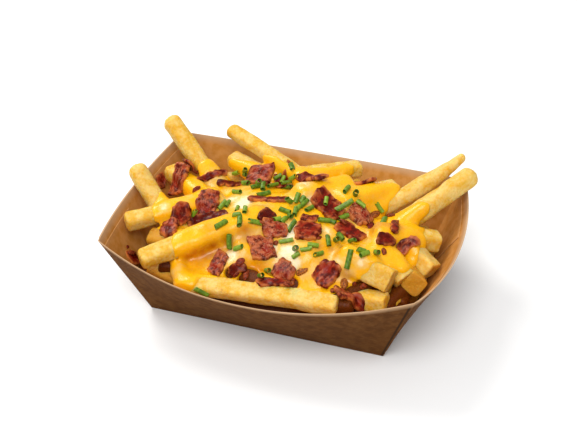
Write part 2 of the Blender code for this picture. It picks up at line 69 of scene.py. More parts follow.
# The end walls are glued over flaps of the long walls, whose edges show inside and out. Places along
# a wall are shares of its half.
PANEL_LIFT, PANEL_EDGE, PANEL_STEP = 0.35, 0.955, 0.006
SEAM = (0.974, 0.982, 0.988, 0.996)
FLAP_FOLD, FLAP_REACH, FLAP_SLANT = 0.995, 0.28, 0.2
FLAP_FOOT, FLAP_TOP = 0.03, 5.0
FLAP_GAP, FLAP_BOARD, FLAP_LEAN = 0.06, 0.42, 1.15
FLAP_RIM = 0.25
FLAP_STEPS, FLAP_ROWS = 20, 12

# The heap's core, which fries hide: its walls' levels, its edge and peak, and the rings of its top.
CORE_INSET, CORE_SINK = 1.9, 0.8
CORE_LEVELS, CORE_RINGS = (1.2, 9.0, 17.0), (0.88, 0.72, 0.52, 0.28)
CORE_EDGE, CORE_PEAK, CORE_FULLNESS = 25.0, 58.0, 1.2
CORE_REACH, CORE_SLOPE = (83.0, 62.0), 0.8

# Filler fries, by the same rule and draws as the solids. Each ring has how many, how far out they
# lie, how high, and how far they turn from the ring's run.
FILLER_RINGS = (
    (22, 0.8, 0.97, 27.0, 32.0, 0.35),
    (18, 0.62, 0.82, 34.0, 40.0, 1.0),
    (5, 0.3, 0.5, 44.0, 48.0, 1.5),
)
FILLER_REACH, FILLER_SQUARE = (90.0, 71.0), 4
FILLER_SIZE, FILLER_HALF = (9.5, 11.5), (18.0, 26.0)
FILLER_STRAY, FILLER_RISE, FILLER_TURN = 0.15, 0.12, 30.0
FILLER_ROOM, FILLER_LEAN = 2.5, 0.78
FILLER_TRIES, FILLER_SEED = 30, 11
FILLER_GAP = (60.0, -25.0, 33.0)

# A fry's section is a rounded square: how square it is, and how round its ends are.
BROWNED, PLAIN, CUT, FILLER = (3.2, 4.5), (5.2, 2.1), (7.0, 1.1), (5.0, 2.0)
TIP_ROUND, TAPER_END = 0.9, 0.45
END_SCALES, END_STEPS, END_FADE = (0.12, 0.45, 0.75), 6, 3.0
FRY_DETAIL, FILLER_DETAIL = (32, 2.0), (20, 3.0)

# Painted shade: how dark the deep fries are painted, and the hidden ones at the back and at the front.
DEEP_FRY_SHADE = 0.5
GAP_SHADE, GAP_SHADE_FADE = (0.12, 1.0), (-28.0, 0.0)

# Fries placed one by one: tip, foot, width, height, turn about the length, tip's share of the
# section, and how far the middle bends up.
STANDING_FRIES = (
    ((-95, 49, 75), (-47, 21, 41), 11, 10.5, 10, 1.0, 0.0),
    ((-99, 3.5, 66.5), (-61, -17, 31), 11.5, 11.5, 20, 1.0, 0.0),
    ((-59, 59.5, 67.5), (21, 25.5, 51.4), 9.5, 8.5, 0, 1.0, 1.3),
    ((90, 63, 74), (44, 28, 47), 11, 10, 10, 0.42, -2.5),
    ((98.5, 53.5, 69.5), (55, 12, 42), 12.5, 12, 10, 0.9, -0.8),
)
LYING_FRIES = (
    ((-89.5, -32, 50), (-45, 6, 52), 10, 9.5, 15, 1.0, 0.0),
    ((-66.5, -63.5, 50), (-11.5, -12.5, 58), 11.5, 10.5, 15, 0.92, 1.0),
    ((-41, -61.5, 37.9), (48, -57.3, 40.8), 11, 8.5, 15, 1.0, 0.8),
    ((28.5, 55.5, 57.5), (-6, 29, 60), 10, 9, 0, 1.0, 1.0),
)
CUT_FRIES = (
    ((-52.5, 46.5, 54), (-18, 34, 51), 9.5, 9.5, 0, 1.0, 0.0),
    ((-86.5, 28.5, 49.5), (-49, 2.5, 50), 9.5, 10, 0, 1.0, 0.0),
    ((28, 36, 58), (2, 12.5, 60), 10, 9, 0, 1.0, 0.0),
    ((53, 44.5, 55), (27, 16, 58), 10, 9, 0, 1.0, 0.0),
    ((71.5, -31, 43.5), (41, -25, 50), 14, 12, -52, 1.0, 0.0),
    ((77, -22, 39.5), (56, -11, 50), 12, 11, -15, 1.0, 0.0),
    ((71.5, -40, 35), (40, -39, 32), 12, 10.5, 10, 1.0, 0.0),
    ((89, -6.5, 37), (69, 6, 46), 11.5, 11.5, 28, 1.0, 0.0),
    ((86.5, 16.5, 42), (54, -4, 54), 11, 11, 0, 1.0, 0.0),
)

# Fries that lie deep, painted browner for the shade they lie in.
DEEP_FRIES = (
    ((-67, -50, 35), (-28, -55.5, 32), 10, 9.5, 20, 1.0, 0.0),
    ((-74.5, -30.5, 41), (-38, -35, 46), 10.5, 10, 20, 1.0, 0.0),
    ((76.5, -30, 27), (52, -25, 33), 12, 11, 0, 1.0, 0.0),
    ((82.5, -22.5, 38), (74, -1, 31), 12.5, 12, 42, 1.0, 0.0),
)

# The cheese covers the heap inside this outline in plan, from the left end round the front.
CHEESE_OUTLINE = (
    (-79, -4), (-82, -12), (-79.5, -16), (-76, -25), (-72, -30), (-68, -34), (-61, -37),
    (-54, -46), (-51, -55), (-46, -58), (-43, -65), (-38, -68), (-34.5, -67), (-33, -60.5),
    (-20.5, -58), (2, -55), (24.5, -52), (41, -49.5), (46, -45), (50, -40), (56, -37),
    (59, -34), (60, -31), (66, -27), (70, -25), (73.5, -23.5), (77, -23), (79.5, -19.5),
    (80.5, -13), (80.3, -6), (81, 1), (82, 7), (80.5, 13), (77, 21), (79, 27), (71.5, 31),
    (65, 28), (59, 24), (55, 24.5), (54.5, 29), (57, 38), (57, 43), (52, 44), (46, 40),
    (38, 41), (29, 43), (26, 49), (20, 51), (12, 42), (3, 36), (-4, 37), (-12, 38), (-22, 42),
    (-36, 42), (-43, 41.5), (-50, 41.5), (-58, 41), (-64, 33), (-68, 27), (-75, 24), (-77, 10),
)
CHEESE_LOW, CHEESE_HIGH, CHEESE_STEP = (-92.0, -68.0, 24.0), (94.0, 66.0, 80.0), 0.9
CHEESE_SEED = 21

# How thick the cheese is, how far it fills the gaps between fries, how round its edges are, and how
# far it hangs down inside its outline.
CHEESE_THIN, CHEESE_THICK, CHEESE_SWELL, CHEESE_UNEVEN = 0.7, 1.7, 7.0, 0.6
CHEESE_FILL, CHEESE_INNER, CHEESE_BOX = (3.0, 7.0), 22.0, 9.0
CHEESE_ROUND, CHEESE_COVER, CHEESE_LIP = 3.2, 0.45, 2.2
CHEESE_DROP, CHEESE_DRIPS, CHEESE_DEEP = 6.0, 6.0, (3.0, 9.0, 32.0)
CHEESE_LEVEL = 80

# Thick runs of cheese that leave the blanket, each from point to point with its radius.
CHEESE_RUNS = (
    ((-53, -47, 46), (-46, -57, 41.5), 3.6),
    ((-46, -57, 41.5), (-41.5, -63.5, 38.5), 3.8),
    ((-41.5, -63.5, 38.5), (-35, -63, 40), 3.8),
)

# Hollows that show what is under the cheese: middle in the photograph's pixels, and radius in
# millimetres.
CHEESE_HOLLOWS = ((250, 274, 4.5), (230, 273, 3.0), (243, 280, 3.0), (292, 284, 3.5), (353, 289, 3.0))
HOLLOW_LENGTH = 14.0

# Places where the cheese is pale, as cream sauce and at some of them a painted highlight: middle in the
# photograph's pixels, reach in millimetres, and how pale.
PALE_POOLS_AND_HIGHLIGHTS = (
    (209, 182, 7, 0.5), (186, 196, 6, 0.35), (243, 203, 9, 0.95), (231, 199, 7, 0.8), (166, 236, 6, 0.75),
    (231, 256, 8, 0.95), (286, 255, 9, 1.1), (270, 249, 8, 1.0), (291, 231, 9, 1.0), (164, 207, 4, 0.7),
    (294, 263, 6, 1.0), (218, 176, 7, 0.65), (262, 205, 7, 0.7), (303, 183, 7, 0.65), (326, 232, 6, 0.7),
    (337, 262, 6, 0.6), (347, 274, 6, 0.6), (376, 226, 5, 0.35), (310, 200, 6, 0.6), (361, 263, 5, 0.6),
)

# Places where the cheese is shaded brown by what is round it, given in the same way.
SHADES = (
    (200, 256, 8, 0.7), (213, 249, 8, 0.7), (226, 241, 6, 0.6), (246, 233, 7, 0.6), (186, 258, 5, 0.5),
    (243, 267, 7, 0.8), (256, 270, 8, 0.8), (335, 250, 9, 0.4), (375, 224, 8, 0.6), (345, 226, 6, 0.4),
    (318, 246, 6, 0.3), (268, 232, 6, 0.4), (395, 226, 6, 0.5), (345, 276, 5, 0.4), (208, 228, 5, 0.4),
)

# Bacon: middle in plan, length, width, heading of the length in degrees, how far the ends curl
# up, how pale it is and how charred it is.
BACON = (
    (-75.5, 17, 19, 10.5, 72, 1.0, 0.45, 0.2), (-91, 23, 9, 7, 90, 0.0, 0.3, 0.5),
    (-71, 24, 9, 7, 60, 0.5, 0.4, 0.2), (-57, 24, 20, 5, 50, 1.0, 0.1, 0.6),
    (-45, 24, 18, 5, 26, 1.0, 0.0, 0.8), (-28, 30, 16, 15, 10, 1.0, 0.4, 0.2),
    (-15, 31, 9, 8, 100, 1.0, 0.2, 0.5), (-48, -6.5, 20, 12, 96, -0.5, 0.4, 0.1),
    (-60.5, -18.5, 15, 10, 97, 0.5, 0.3, 0.3), (-63, -29.5, 13, 10.5, 97, -0.5, 0.3, 0.4),
    (-44, -16, 25, 8.5, 18, 0.5, 0.05, 0.9), (-7, -16.5, 11, 8.5, 80, 0.0, 0.0, 0.9),
    (0, -22.5, 15, 10, 10, 0.5, 0.5, 0.1), (-4, -34, 15, 14, 20, 0.5, 0.55, 0.1),
    (-25, -48.5, 16, 9, 80, 0.5, 0.4, 0.3), (-13, -49.5, 10, 6, 40, 0.0, 0.1, 0.8),
    (11, -42, 12, 12, 70, 0.0, 0.45, 0.2), (9.5, -54.5, 17, 7, 12, 1.5, 0.2, 0.4),
    (18, -18, 15, 13, 12, 0.5, 0.2, 0.1), (15.5, -7.5, 10, 7, 15, 0.5, 0.4, 0.2),
    (22, 8, 24, 13, -33, 1.0, 0.05, 0.5), (7, 25, 21, 8, -22, 1.5, 0.3, 0.5),
    (-13, 3, 24, 5, 5, 1.5, 0.25, 0.5), (36, 36, 15, 7, -10, 1.0, 0.2, 0.5),
    (41, 9.5, 15, 14, -25, 0.0, 0.65, 0.0), (40, -6.5, 17, 10, -24, 0.5, 0.1, 0.3),
    (62.3, -11, 12, 8.5, 10, 0.5, 0.0, 0.7), (63.8, 1.5, 14, 4.5, 100, 1.5, 0.1, 0.4),
    (73.8, -3, 15, 6, 52, 1.5, 0.45, 0.3), (35.5, -38, 15, 14, 70, 0.5, 0.1, 0.1),
    (51.5, -49, 20, 9, 19, 1.0, 0.3, 0.2), (-83.5, -40, 8.5, 7, 60, 0.5, 0.1, 0.5),
)
BACON_THICK, BACON_STEP, BACON_CORNER, BACON_SKEW = (2.0, 3.3), 0.6, 0.22, 0.3
BACON_SINK, BACON_SAG, BACON_REACH, BACON_REST = 0.5, 0.55, 4.0, 88
STEEPEST = 0.9

# Chives as they are seen: middle in the photograph's pixels, angle in the picture and length in
# pixels. Short ones stand on end, and are seen from their open side.
CHIVES = (
    (236.7, 173, 15, 7), (244.8, 170.3, 60, 4), (244.8, 174.6, -20, 4), (236.7, 191.4, -3, 10),
    (263.8, 193.6, 13, 12.7), (258.4, 181.7, 45, 4), (255.1, 186.6, 10, 8), (263.2, 186, 85, 9),
    (273, 184.9, 15, 12), (282.8, 179, 65, 6.5), (277.3, 176.8, 30, 6), (286.5, 182.2, 10, 9),
    (284.9, 187.4, 10, 12), (292.5, 187.1, -15, 7), (292.5, 177.3, 30, 8), (291.4, 166.5, -70, 5),
    (245.4, 183, 0, 6), (222.5, 204.6, 52, 11), (227.6, 203.6, 60, 8), (237.2, 208.8, 70, 5),
    (236.7, 214.2, 8, 7.5), (244.8, 209.3, 80, 7), (239.4, 221.2, 88, 8), (255.1, 221.8, -12, 11),
    (220.5, 224, 31, 12), (194.7, 214, 75, 8), (297, 197.5, 70, 9.5), (289.3, 200.1, -40, 6),
    (284.9, 210.4, -20, 11), (290.3, 215.3, -45, 4), (295.2, 211.5, 75, 9), (283.8, 220.2, 50, 8),
    (292, 225.8, 57, 13), (277.3, 219, 10, 6), (302.6, 199.3, 60, 6), (304.4, 202.8, 45, 10),
    (309.6, 208.4, 27, 9), (298.6, 207.8, 50, 6), (346.8, 189.1, 48, 9.5), (356, 193, 75, 4),
    (326.1, 200.7, 80, 8), (344.7, 204.9, 30, 17), (360.9, 203.5, -37, 9), (343.3, 216.8, 22, 9),
    (323.7, 220, -8, 9), (331.8, 221.4, -20, 7), (379.8, 207.7, -55, 10.5), (383.3, 221, 62, 8),
    (229.4, 241.6, 90, 13), (238.3, 247.5, 20, 5), (286, 240.5, 10, 12.5), (295.4, 248, 30, 4),
    (295.8, 255.1, 35, 6), (267.6, 270.3, 10, 4), (261.1, 275.2, 20, 4), (328.4, 241.1, 97, 10),
    (306, 248.8, 10, 9.5), (313.1, 245, -8, 9), (318.8, 253.6, 12, 8), (340.5, 236.7, -50, 8),
    (336.7, 239.2, 30, 4), (352, 240.5, 20, 5), (348.8, 259, 77, 17), (364.7, 253.9, 18, 10.5),
    (361.5, 250, -20, 7), (376.8, 252, -5, 4), (201.5, 292, -28, 13),
)
CHIVE_RADIUS, CHIVE_WALL, CHIVE_SIDES = 1.5, 0.32, 16
CHIVE_SHARES = (0, 0.03, 0.25, 0.5, 0.75, 0.97, 1)
CHIVE_SHORTEST, CHIVE_ON_END = 4.6, 4.5
CHIVE_LIFT, CHIVE_STEP, CHIVE_TRIES = 0.75, 0.5, 30
CHIVE_SEED = 8

# Crumbs of meat and crust as they are seen: middle in the photograph's pixels, size across in
# millimetres, and how brown rather than red.
CRUMBS = (
    (196.5, 190.5, 5, 0.1), (370, 227, 6, 0.0), (240, 262, 4.5, 0.1), (246, 275, 5, 0.2), (236, 274, 4, 0.1),
    (292, 283, 4, 0.6), (289, 162.5, 2.5, 0.7), (344, 284.5, 5.5, 0.9),
    (354, 284.5, 4, 0.2), (363, 286, 4, 0.2), (302, 272, 5, 1.0), (333, 291, 3.5, 0.3),
    (384, 252, 3, 0.3), (215, 205, 3, 0.3), (262, 222, 4, 0.4), (276, 243, 3, 0.3), (318, 238, 3, 0.2),
    (343, 222, 3.5, 0.2), (391, 216, 4, 0.3),
    (374, 215, 6.5, 0.7), (131, 253, 4.5, 0.2), (127, 247, 2.8, 0.1), (287, 284, 5, 0.2), (292, 279, 4, 0.1),
)
CRUMB_SIDES, CRUMB_RINGS, CRUMB_TIP = 16, 9, 0.2
CRUMB_FLAT, CRUMB_LIFT = 0.55, 0.4
CRUMB_SEED = 5

# The floor's size and its drop below the tray, and the lamps in metres: place, size, power, colour.
FLOOR_SIZE, FLOOR_DROP = 6000.0, 0.2
WORLD_LIGHT = 0.46
LAMP_AIM = (0, 0, 0.04)
LAMPS = {
    "key": ((-0.75, 0.35, 1.0), 0.7, 9.8, (1, 0.98, 0.94)),
    "front": ((0.15, -0.75, 1.05), 0.9, 13.2, (1, 1, 1)),
}


# Meshes and noise


def make_mesh(name, points, faces):
    mesh = bpy.data.meshes.new(name)
    mesh.from_pydata(np.asarray(points, float).tolist(), [], faces)
    mesh.update()
    return mesh


def add_object(name, data):
    item = bpy.data.objects.new(name, data)
    bpy.context.scene.collection.objects.link(item)
    return item


def add_piece(name, points, faces, material, slot, **attributes):
    """Makes a piece on the frame's body from points in millimetres, with named values per point."""
    mesh = make_mesh(name, np.asarray(points, float) * MM, faces)
    mesh.validate()
    for key, values in attributes.items():
        layer = mesh.attributes.new(key, "FLOAT", "POINT")
        layer.data.foreach_set("value", np.asarray(values, np.float32))
    mesh.shade_smooth()
    mesh.materials.append(material)
    piece = add_object(name, mesh)
    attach(piece, "root")
    return piece


def grain(points, size, seed):
    """Smooth noise from -1 to 1 at points in millimetres, in lumps of the given size."""
    table = np.random.default_rng(seed).uniform(-1, 1, (32, 32, 32))
    place = np.asarray(points, float) / size
    cell = np.floor(place).astype(int)
    share = place - cell
    share = share * share * (3 - 2 * share)
    total = np.zeros(place.shape[:-1])
    for corner in np.ndindex(2, 2, 2):
        weight = np.prod(np.where(corner, share, 1 - share), axis=-1)
        total += weight * table[tuple(np.moveaxis((cell + corner) % 32, -1, 0))]
    return total


def grains(points, *layers):
    """The sum of noises, each with its height, size and seed."""
    return sum(height * grain(points, size, seed) for height, size, seed in layers)


def ramp(values, low, high):
    """0 below the low value, 1 above the high one, smooth between."""
    share = np.clip((np.asarray(values, float) - low) / (high - low), 0, 1)
    return share * share * (3 - 2 * share)


def point_normals(points, faces):
    mesh = make_mesh("probe", points, faces)
    normals = np.zeros(len(mesh.vertices) * 3)
    mesh.vertex_normals.foreach_get("vector", normals)
    bpy.data.meshes.remove(mesh)
    return normals.reshape(-1, 3)


def tube_faces(rings, sides, start=0, capped=True):
    """Quads along a stack of rings, and a many-sided face at each end."""
    here = np.arange(rings * sides).reshape(rings, sides) + start
    after = np.roll(here, -1, axis=1)
    faces = np.stack([here[:-1], after[:-1], after[1:], here[1:]], -1).reshape(-1, 4).tolist()
    return faces + [here[0, ::-1].tolist(), here[-1].tolist()] if capped else faces


# Tray


class Wall:
    """One leaning wall, seen along its outward direction: straight at the base, bowed at the rim."""

    def __init__(self, outward, half, reach, bow, dip, steps):
        angle = math.radians(outward)
        self.out = Vector((math.cos(angle), math.sin(angle), 0))
        self.side = UP.cross(self.out)
        self.is_end = abs(self.out.x) > 0.5
        self.half, self.reach = half, reach
        self.bow, self.dip, self.steps = bow, dip, steps

    def rim_height(self, s):
        return RIM_HEIGHT - self.dip * (1 - abs(s) ** BOW_POWER)

    def point(self, s, share):
        """s runs from -1 to 1 along the wall, and share from 0 at the base to 1 at the rim."""
        bulge = self.bow * (1 - abs(s) ** BOW_POWER)
        along = s * (self.half[0] * (1 - share) + self.half[1] * share)
        reach = self.reach[0] * (1 - share) + (self.reach[1] + bulge) * share
        return self.out * reach + self.side * along + UP * (self.rim_height(s) * share)

    def room(self, place):
        """How far a place is from the wall, level and inward."""
        s = max(-1.0, min(1.0, place.dot(self.side) / self.half[1]))
        return (self.point(s, min(1.0, place.z / self.rim_height(s))) - place).dot(self.out)

    def stations(self):
        """Places along the wall, with a pair at each glued edge of an end wall."""
        edge = (PANEL_EDGE, PANEL_EDGE + PANEL_STEP) if self.is_end else SEAM
        places = [-1 + 2 * k / self.steps for k in range(self.steps)]
        return sorted({*places, *edge, *(-s for s in edge)})


HALF_X, HALF_Y = (BASE_LENGTH / 2, RIM_LENGTH / 2), (BASE_WIDTH / 2, RIM_WIDTH / 2)
FRONT, BACK = Wall(270, HALF_X, HALF_Y, *LONG_WALL), Wall(90, HALF_X, HALF_Y, *LONG_WALL)
RIGHT, LEFT = Wall(0, HALF_Y, HALF_X, *RIGHT_WALL), Wall(180, HALF_Y, HALF_X, *LEFT_WALL)
WALLS = (FRONT, RIGHT, BACK, LEFT)


def wall_ring(share):
    return [wall.point(s, share) for wall in WALLS for s in wall.stations()]


def level_ring(height):
    return [wall.point(s, min(height / wall.rim_height(s), 1.0))
            for wall in WALLS for s in wall.stations()]


def panel_ring(share):
    """The outside at one share of the height, where the end walls' panels stand proud."""
    ring = []
    for wall in WALLS:
        for s in wall.stations():
            proud = wall.is_end and abs(s) <= PANEL_EDGE
            ring.append(wall.point(s, share) + wall.out * (PANEL_LIFT * min(1.0, share * WALL_ROWS) * proud))
    return ring


def inset(ring, distance):
    """Moves each point of a ring inward, level, by the same distance from both its edges."""
    moved = []
    for k, point in enumerate(ring):
        before = (point - ring[k - 1]).to_2d().normalized()
        after = (ring[(k + 1) % len(ring)] - point).to_2d().normalized()
        normal = (Vector((-before.y, before.x)) + Vector((-after.y, after.x))).normalized()
        step = distance / max(0.3, normal.dot(Vector((-after.y, after.x))))
        moved.append(point + Vector((normal.x * step, normal.y * step, 0)))
    return moved


def add_shell(material):
    shares = [k / WALL_ROWS for k in range(WALL_ROWS + 1)]
    outside = [panel_ring(share) for share in shares]
    inside = [inset(wall_ring(share), BOARD) for share in reversed(shares[1:])]
    rings = outside + inside + [inset(level_ring(BOARD), BOARD)]
    points = np.array([p for ring in rings for p in ring])
    row = np.arange(len(points)) // len(rings[0]) - len(outside)
    # inner picks the board's lit inside colour; the outside gets a darker copy, which is painted shade.
    inner = (row >= 0).astype(float)
    # Painted shadow: a near-black line on the outside along the glued seams by the right-hand corners.
    dark = [not wall.is_end and wall.point(s, 1).x > 0 and abs(s) in SEAM[1:3]
            for wall in WALLS for s in wall.stations()]
    seam = np.tile(np.array(dark, float), len(rings)) * (1 - inner)
    piece = add_piece("tray_shell", points, tube_faces(len(rings), len(rings[0])), material, "board",
                      rim=(row == 0) | (row == -1), inner=inner, seam=seam)
    piece.data.set_sharp_from_angle(angle=SHARP)
    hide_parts("tray")
    return piece


def add_flaps(material):
    """The long walls' flaps, which lie inside the end walls and stop short of the rim."""
    points, faces, rim = [], [], []
    grid = [(i / FLAP_STEPS, j / FLAP_ROWS) for j in range(FLAP_ROWS + 1) for i in range(FLAP_STEPS + 1)]
    for wall in (RIGHT, LEFT):
        for side in (-1, 1):
            faces += sheet_faces(FLAP_STEPS, FLAP_ROWS, len(points), side > 0)
            for board in (0, FLAP_BOARD):
                points += [flap_point(wall, side, *place, board) for place in grid]
                rim += [FLAP_RIM * (1 in place) for place in grid]
    piece = add_piece("tray_flaps", points, faces, material, "board", rim=rim, inner=np.ones(len(points)))
    piece.data.set_sharp_from_angle(angle=SHARP)


def flap_point(wall, side, along, rise, board):
    """A point of a flap, from its fold at the tray's corner, and from its foot up."""
    free = FLAP_REACH + FLAP_SLANT * (1 - rise)
    s = side * (FLAP_FOLD - (FLAP_FOLD - free) * along)
    top = 1 - FLAP_TOP / wall.rim_height(s)
    share = FLAP_FOOT + (top - FLAP_FOOT) * rise
    return wall.point(s, share) - wall.out * ((BOARD + FLAP_GAP + board) * FLAP_LEAN)


def sheet_faces(across, rows, start, flip):
    """The closed skin of a sheet given as two grids of points, one after the other."""
    grid = np.arange((rows + 1) * (across + 1)).reshape(rows + 1, across + 1) + start
    front = np.stack([grid[:-1, :-1], grid[:-1, 1:], grid[1:, 1:], grid[1:, :-1]], -1).reshape(-1, 4)
    border = np.concatenate([grid[0, :-1], grid[:-1, -1], grid[-1, :0:-1], grid[:0:-1, 0]])
    after = np.roll(border, -1)
    edge = np.stack([after, border, border + grid.size, after + grid.size], -1)
    skin = np.concatenate([front, front[:, ::-1] + grid.size, edge])
    return (skin[:, ::-1] if flip else skin).tolist()


# Fries


def ring_place(angle):
    """The edge of a rounded oblong in one direction, and the direction in which the edge runs."""
    parts = [math.cos(angle) / FILLER_REACH[0], math.sin(angle) / FILLER_REACH[1]]
    reach = sum(abs(part) ** FILLER_SQUARE for part in parts) ** (-1 / FILLER_SQUARE)
    out_x, out_y = (math.copysign(abs(part) ** (FILLER_SQUARE - 1), part) / half
                    for part, half in zip(parts, FILLER_REACH))
    return reach, math.atan2(out_y, out_x) + math.pi / 2


def random_fry(draw, angle, near, far, low, high, stray):
    reach, run_angle = ring_place(angle)
    reach *= draw.uniform(near, far)
    middle = Vector((math.cos(angle) * reach, math.sin(angle) * reach, draw.uniform(low, high)))
    heading = run_angle + draw.uniform(-stray, stray)
    run = Vector((math.cos(heading), math.sin(heading), draw.uniform(-FILLER_RISE, FILLER_RISE)))
    run *= draw.uniform(*FILLER_HALF)
    size = draw.uniform(*FILLER_SIZE)
    turn = draw.uniform(-FILLER_TURN, FILLER_TURN)
    return (middle - run, middle + run, size, size, turn, 1.0, 0.0)


def filler_fries():
    """Fries round the heap's edge and low in its gaps, each turned at random and clear of the walls."""
    draw = random.Random(FILLER_SEED)
    fries = []
    for count, near, far, low, high, stray in FILLER_RINGS:
        for k in range(count):
            for _ in range(FILLER_TRIES):
                angle = math.tau * k / count + draw.uniform(-FILLER_STRAY, FILLER_STRAY)
                fry = random_fry(draw, angle, near, far, low, high, stray)
                if clear_of_walls(fry):
                    fries.append(fry)
                    break
    return [fry for fry in fries if not hides_corner(fry)]


def hides_corner(fry):
    """True for a fry whose tip would fill the gaps at the front right corner."""
    tip = fry[0]
    return tip.x > FILLER_GAP[0] and tip.y < FILLER_GAP[1] and tip.z > FILLER_GAP[2]


def clear_of_walls(fry):
    """True if both ends keep their distance from the leaning walls."""
    room = FILLER_ROOM + fry[2] * FILLER_LEAN
    return all(wall.room(end) >= room for end in fry[:2] for wall in WALLS)


def fry_frame(fry):
    """A fry's length, and the directions along it, to its side and up from it."""
    run = Vector(fry[1]) - Vector(fry[0])
    along = run.normalized()
    side = UP.cross(along).normalized()
    spin = Matrix.Rotation(math.radians(fry[4]), 3, along)
    return run.length, np.array(along), np.array(spin @ side), np.array(spin @ along.cross(side))


def fry_form(fry, share):
    """Half a fry's width and height at shares of its length, and how far its middle is bent up."""
    width, height, _, tip_share, bend = fry[2:]
    taper = tip_share + (1 - tip_share) * np.minimum(1, share / TAPER_END)
    return width / 2 * taper, height / 2 * taper, bend * (1 - (2 * share - 1) ** 2)


def fry_profile(length, step, end_round):
    """Along one fry: distance from its tip, how far the section is drawn in, and its scale."""
    start = [(0.0, end_round, scale) for scale in END_SCALES]
    start += [(end_round * (1 - math.cos(a)), end_round * (1 - math.sin(a)), 1.0)
              for a in np.linspace(0, math.pi / 2, END_STEPS)]
    count = max(4, round((length - 2 * end_round) / step))
    middle = [(u, 0.0, 1.0) for u in np.linspace(end_round, length - end_round, count + 1)[1:-1]]
    end = [(length - u, drawn, scale) for u, drawn, scale in reversed(start)]
    return np.array(start + middle + end)


def fry_skin(fry, number, style, sides, step):
    """Points, faces, and for each point its nearness to a corner, to an end, and the fry's tone."""
    length, along, side, upward = fry_frame(fry)
    squareness, end_round = style
    profile = fry_profile(length, step, min(end_round, TIP_ROUND * fry[5] * min(fry[2:4]) / 2))
    angle = np.linspace(0, math.tau, sides, endpoint=False)
    cos, sin = np.cos(angle), np.sin(angle)
    reach = (abs(cos) ** squareness + abs(sin) ** squareness) ** (-1 / squareness)
    u, drawn, scale = profile.T[..., None]
    half_width, half_height, lift = fry_form(fry, u / length)
    u, across, high, lift, corner = (values.ravel() for values in np.broadcast_arrays(
        u, (half_width - drawn) * scale * (cos * reach), (half_height - drawn) * scale * (sin * reach),
        lift, ramp((reach - 1) / (reach.max() - 1), 0.35, 1.0)))
    points = (np.array(fry[0]) + u[:, None] * along + across[:, None] * side
              + (high + lift)[:, None] * upward)
    faces = tube_faces(len(profile), sides)
    own = np.stack([u, across, high], -1) + number * 57.0
    dents = grains(own, (0.4, 14, 1), (0.25, 5, 2), (0.16, 2.2, 3))
    dents -= corner * (0.15 + 0.4 * np.maximum(0, grain(own, 6, 4)))
    near_end = np.exp(-np.minimum(u, length - u) / END_FADE)
    tone = np.full(len(u), random.Random(number).uniform(0, 1))
    return points + point_normals(points, faces) * dents[:, None], faces, corner, near_end, tone


def core_height(share):
    """The height of the core's top at a share of its reach from the middle."""
    return CORE_EDGE + (CORE_PEAK - CORE_EDGE) * (1 - share ** 2) ** CORE_FULLNESS


def core_rings():
    rings = [inset(level_ring(height), CORE_INSET) for height in (*CORE_LEVELS, CORE_EDGE)]
    edge = rings[-1]
    for share in CORE_RINGS:
        rings.append([Vector((p.x * share, p.y * share, core_height(share) - CORE_SINK)) for p in edge])
    return rings


def every_fry():
    """Each fry with its style, and how dark its painted shade is, where that isn't left to its place."""
    groups = ((STANDING_FRIES, BROWNED, 0.0), (LYING_FRIES, PLAIN, 0.0), (CUT_FRIES, CUT, 0.0),
              (DEEP_FRIES, CUT, DEEP_FRY_SHADE), (filler_fries(), FILLER, None))
    return [(fry, style, deep) for fries, style, deep in groups for fry in fries]


def painted_gap_shade(points):
    """Painted shade between the heap's fries: dark in the gaps at the front, golden at the back."""
    light, dark = GAP_SHADE
    return dark - (dark - light) * ramp(points[:, 1], *GAP_SHADE_FADE)


def add_fries(material):
    """All the fries over their core, as one piece."""
    rings = core_rings()
    points = [np.array([p for ring in rings for p in ring])]
    faces = tube_faces(len(rings), len(rings[0]))
    # The core and the filler fries get painted gap shade, the other fries a fixed painted shade.
    marks = [np.outer((0, 0, 0, 1), painted_gap_shade(points[0]))]
    for number, (fry, style, deep) in enumerate(every_fry()):
        detail = FILLER_DETAIL if deep is None else FRY_DETAIL
        skin, skin_faces, *skin_marks = fry_skin(fry, number, style, *detail)
        count = sum(map(len, points))
        faces += [[k + count for k in face] for face in skin_faces]
        points.append(skin)
        marks.append([*skin_marks, painted_gap_shade(skin) if deep is None else np.full(len(skin), deep)])
    corner, near_end, tone, deep = np.concatenate(marks, axis=1)
    piece = add_piece("fries_heap", np.concatenate(points), faces, material, "potato",
                      corner=corner, near_end=near_end, tone=tone, deep=deep)
    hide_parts("fries")
    return piece


# Cheese


def fry_sides(fry, places):
    """How far places are beyond a fry's ends and beyond its two pairs of sides."""
    length, along, side, upward = fry_frame(fry)
    away = places - np.array(fry[0])
    u = away @ along
    half_width, half_height, lift = fry_form(fry, np.clip(u / length, 0, 1))
    return (abs(u - length / 2) - length / 2, abs(away @ side) - half_width,
            abs(away @ upward - lift) - half_height)


def box_distance(sides, rounding):
    """Distances to a box whose edges are rounded, negative inside it."""
    beyond = [side + rounding for side in sides]
    outside = np.sqrt(sum(np.maximum(side, 0) ** 2 for side in beyond))
    return outside + np.minimum(np.maximum.reduce(beyond), 0) - rounding


def smooth_least(a, b, reach):
    """The lesser of two distances, rounded where they are closer than the reach."""
    share = np.clip(0.5 + (b - a) / (2 * reach), 0, 1)
    return b + (a - b) * share - reach * share * (1 - share)


def smooth_most(a, b, reach):
    return -smooth_least(-a, -b, reach)


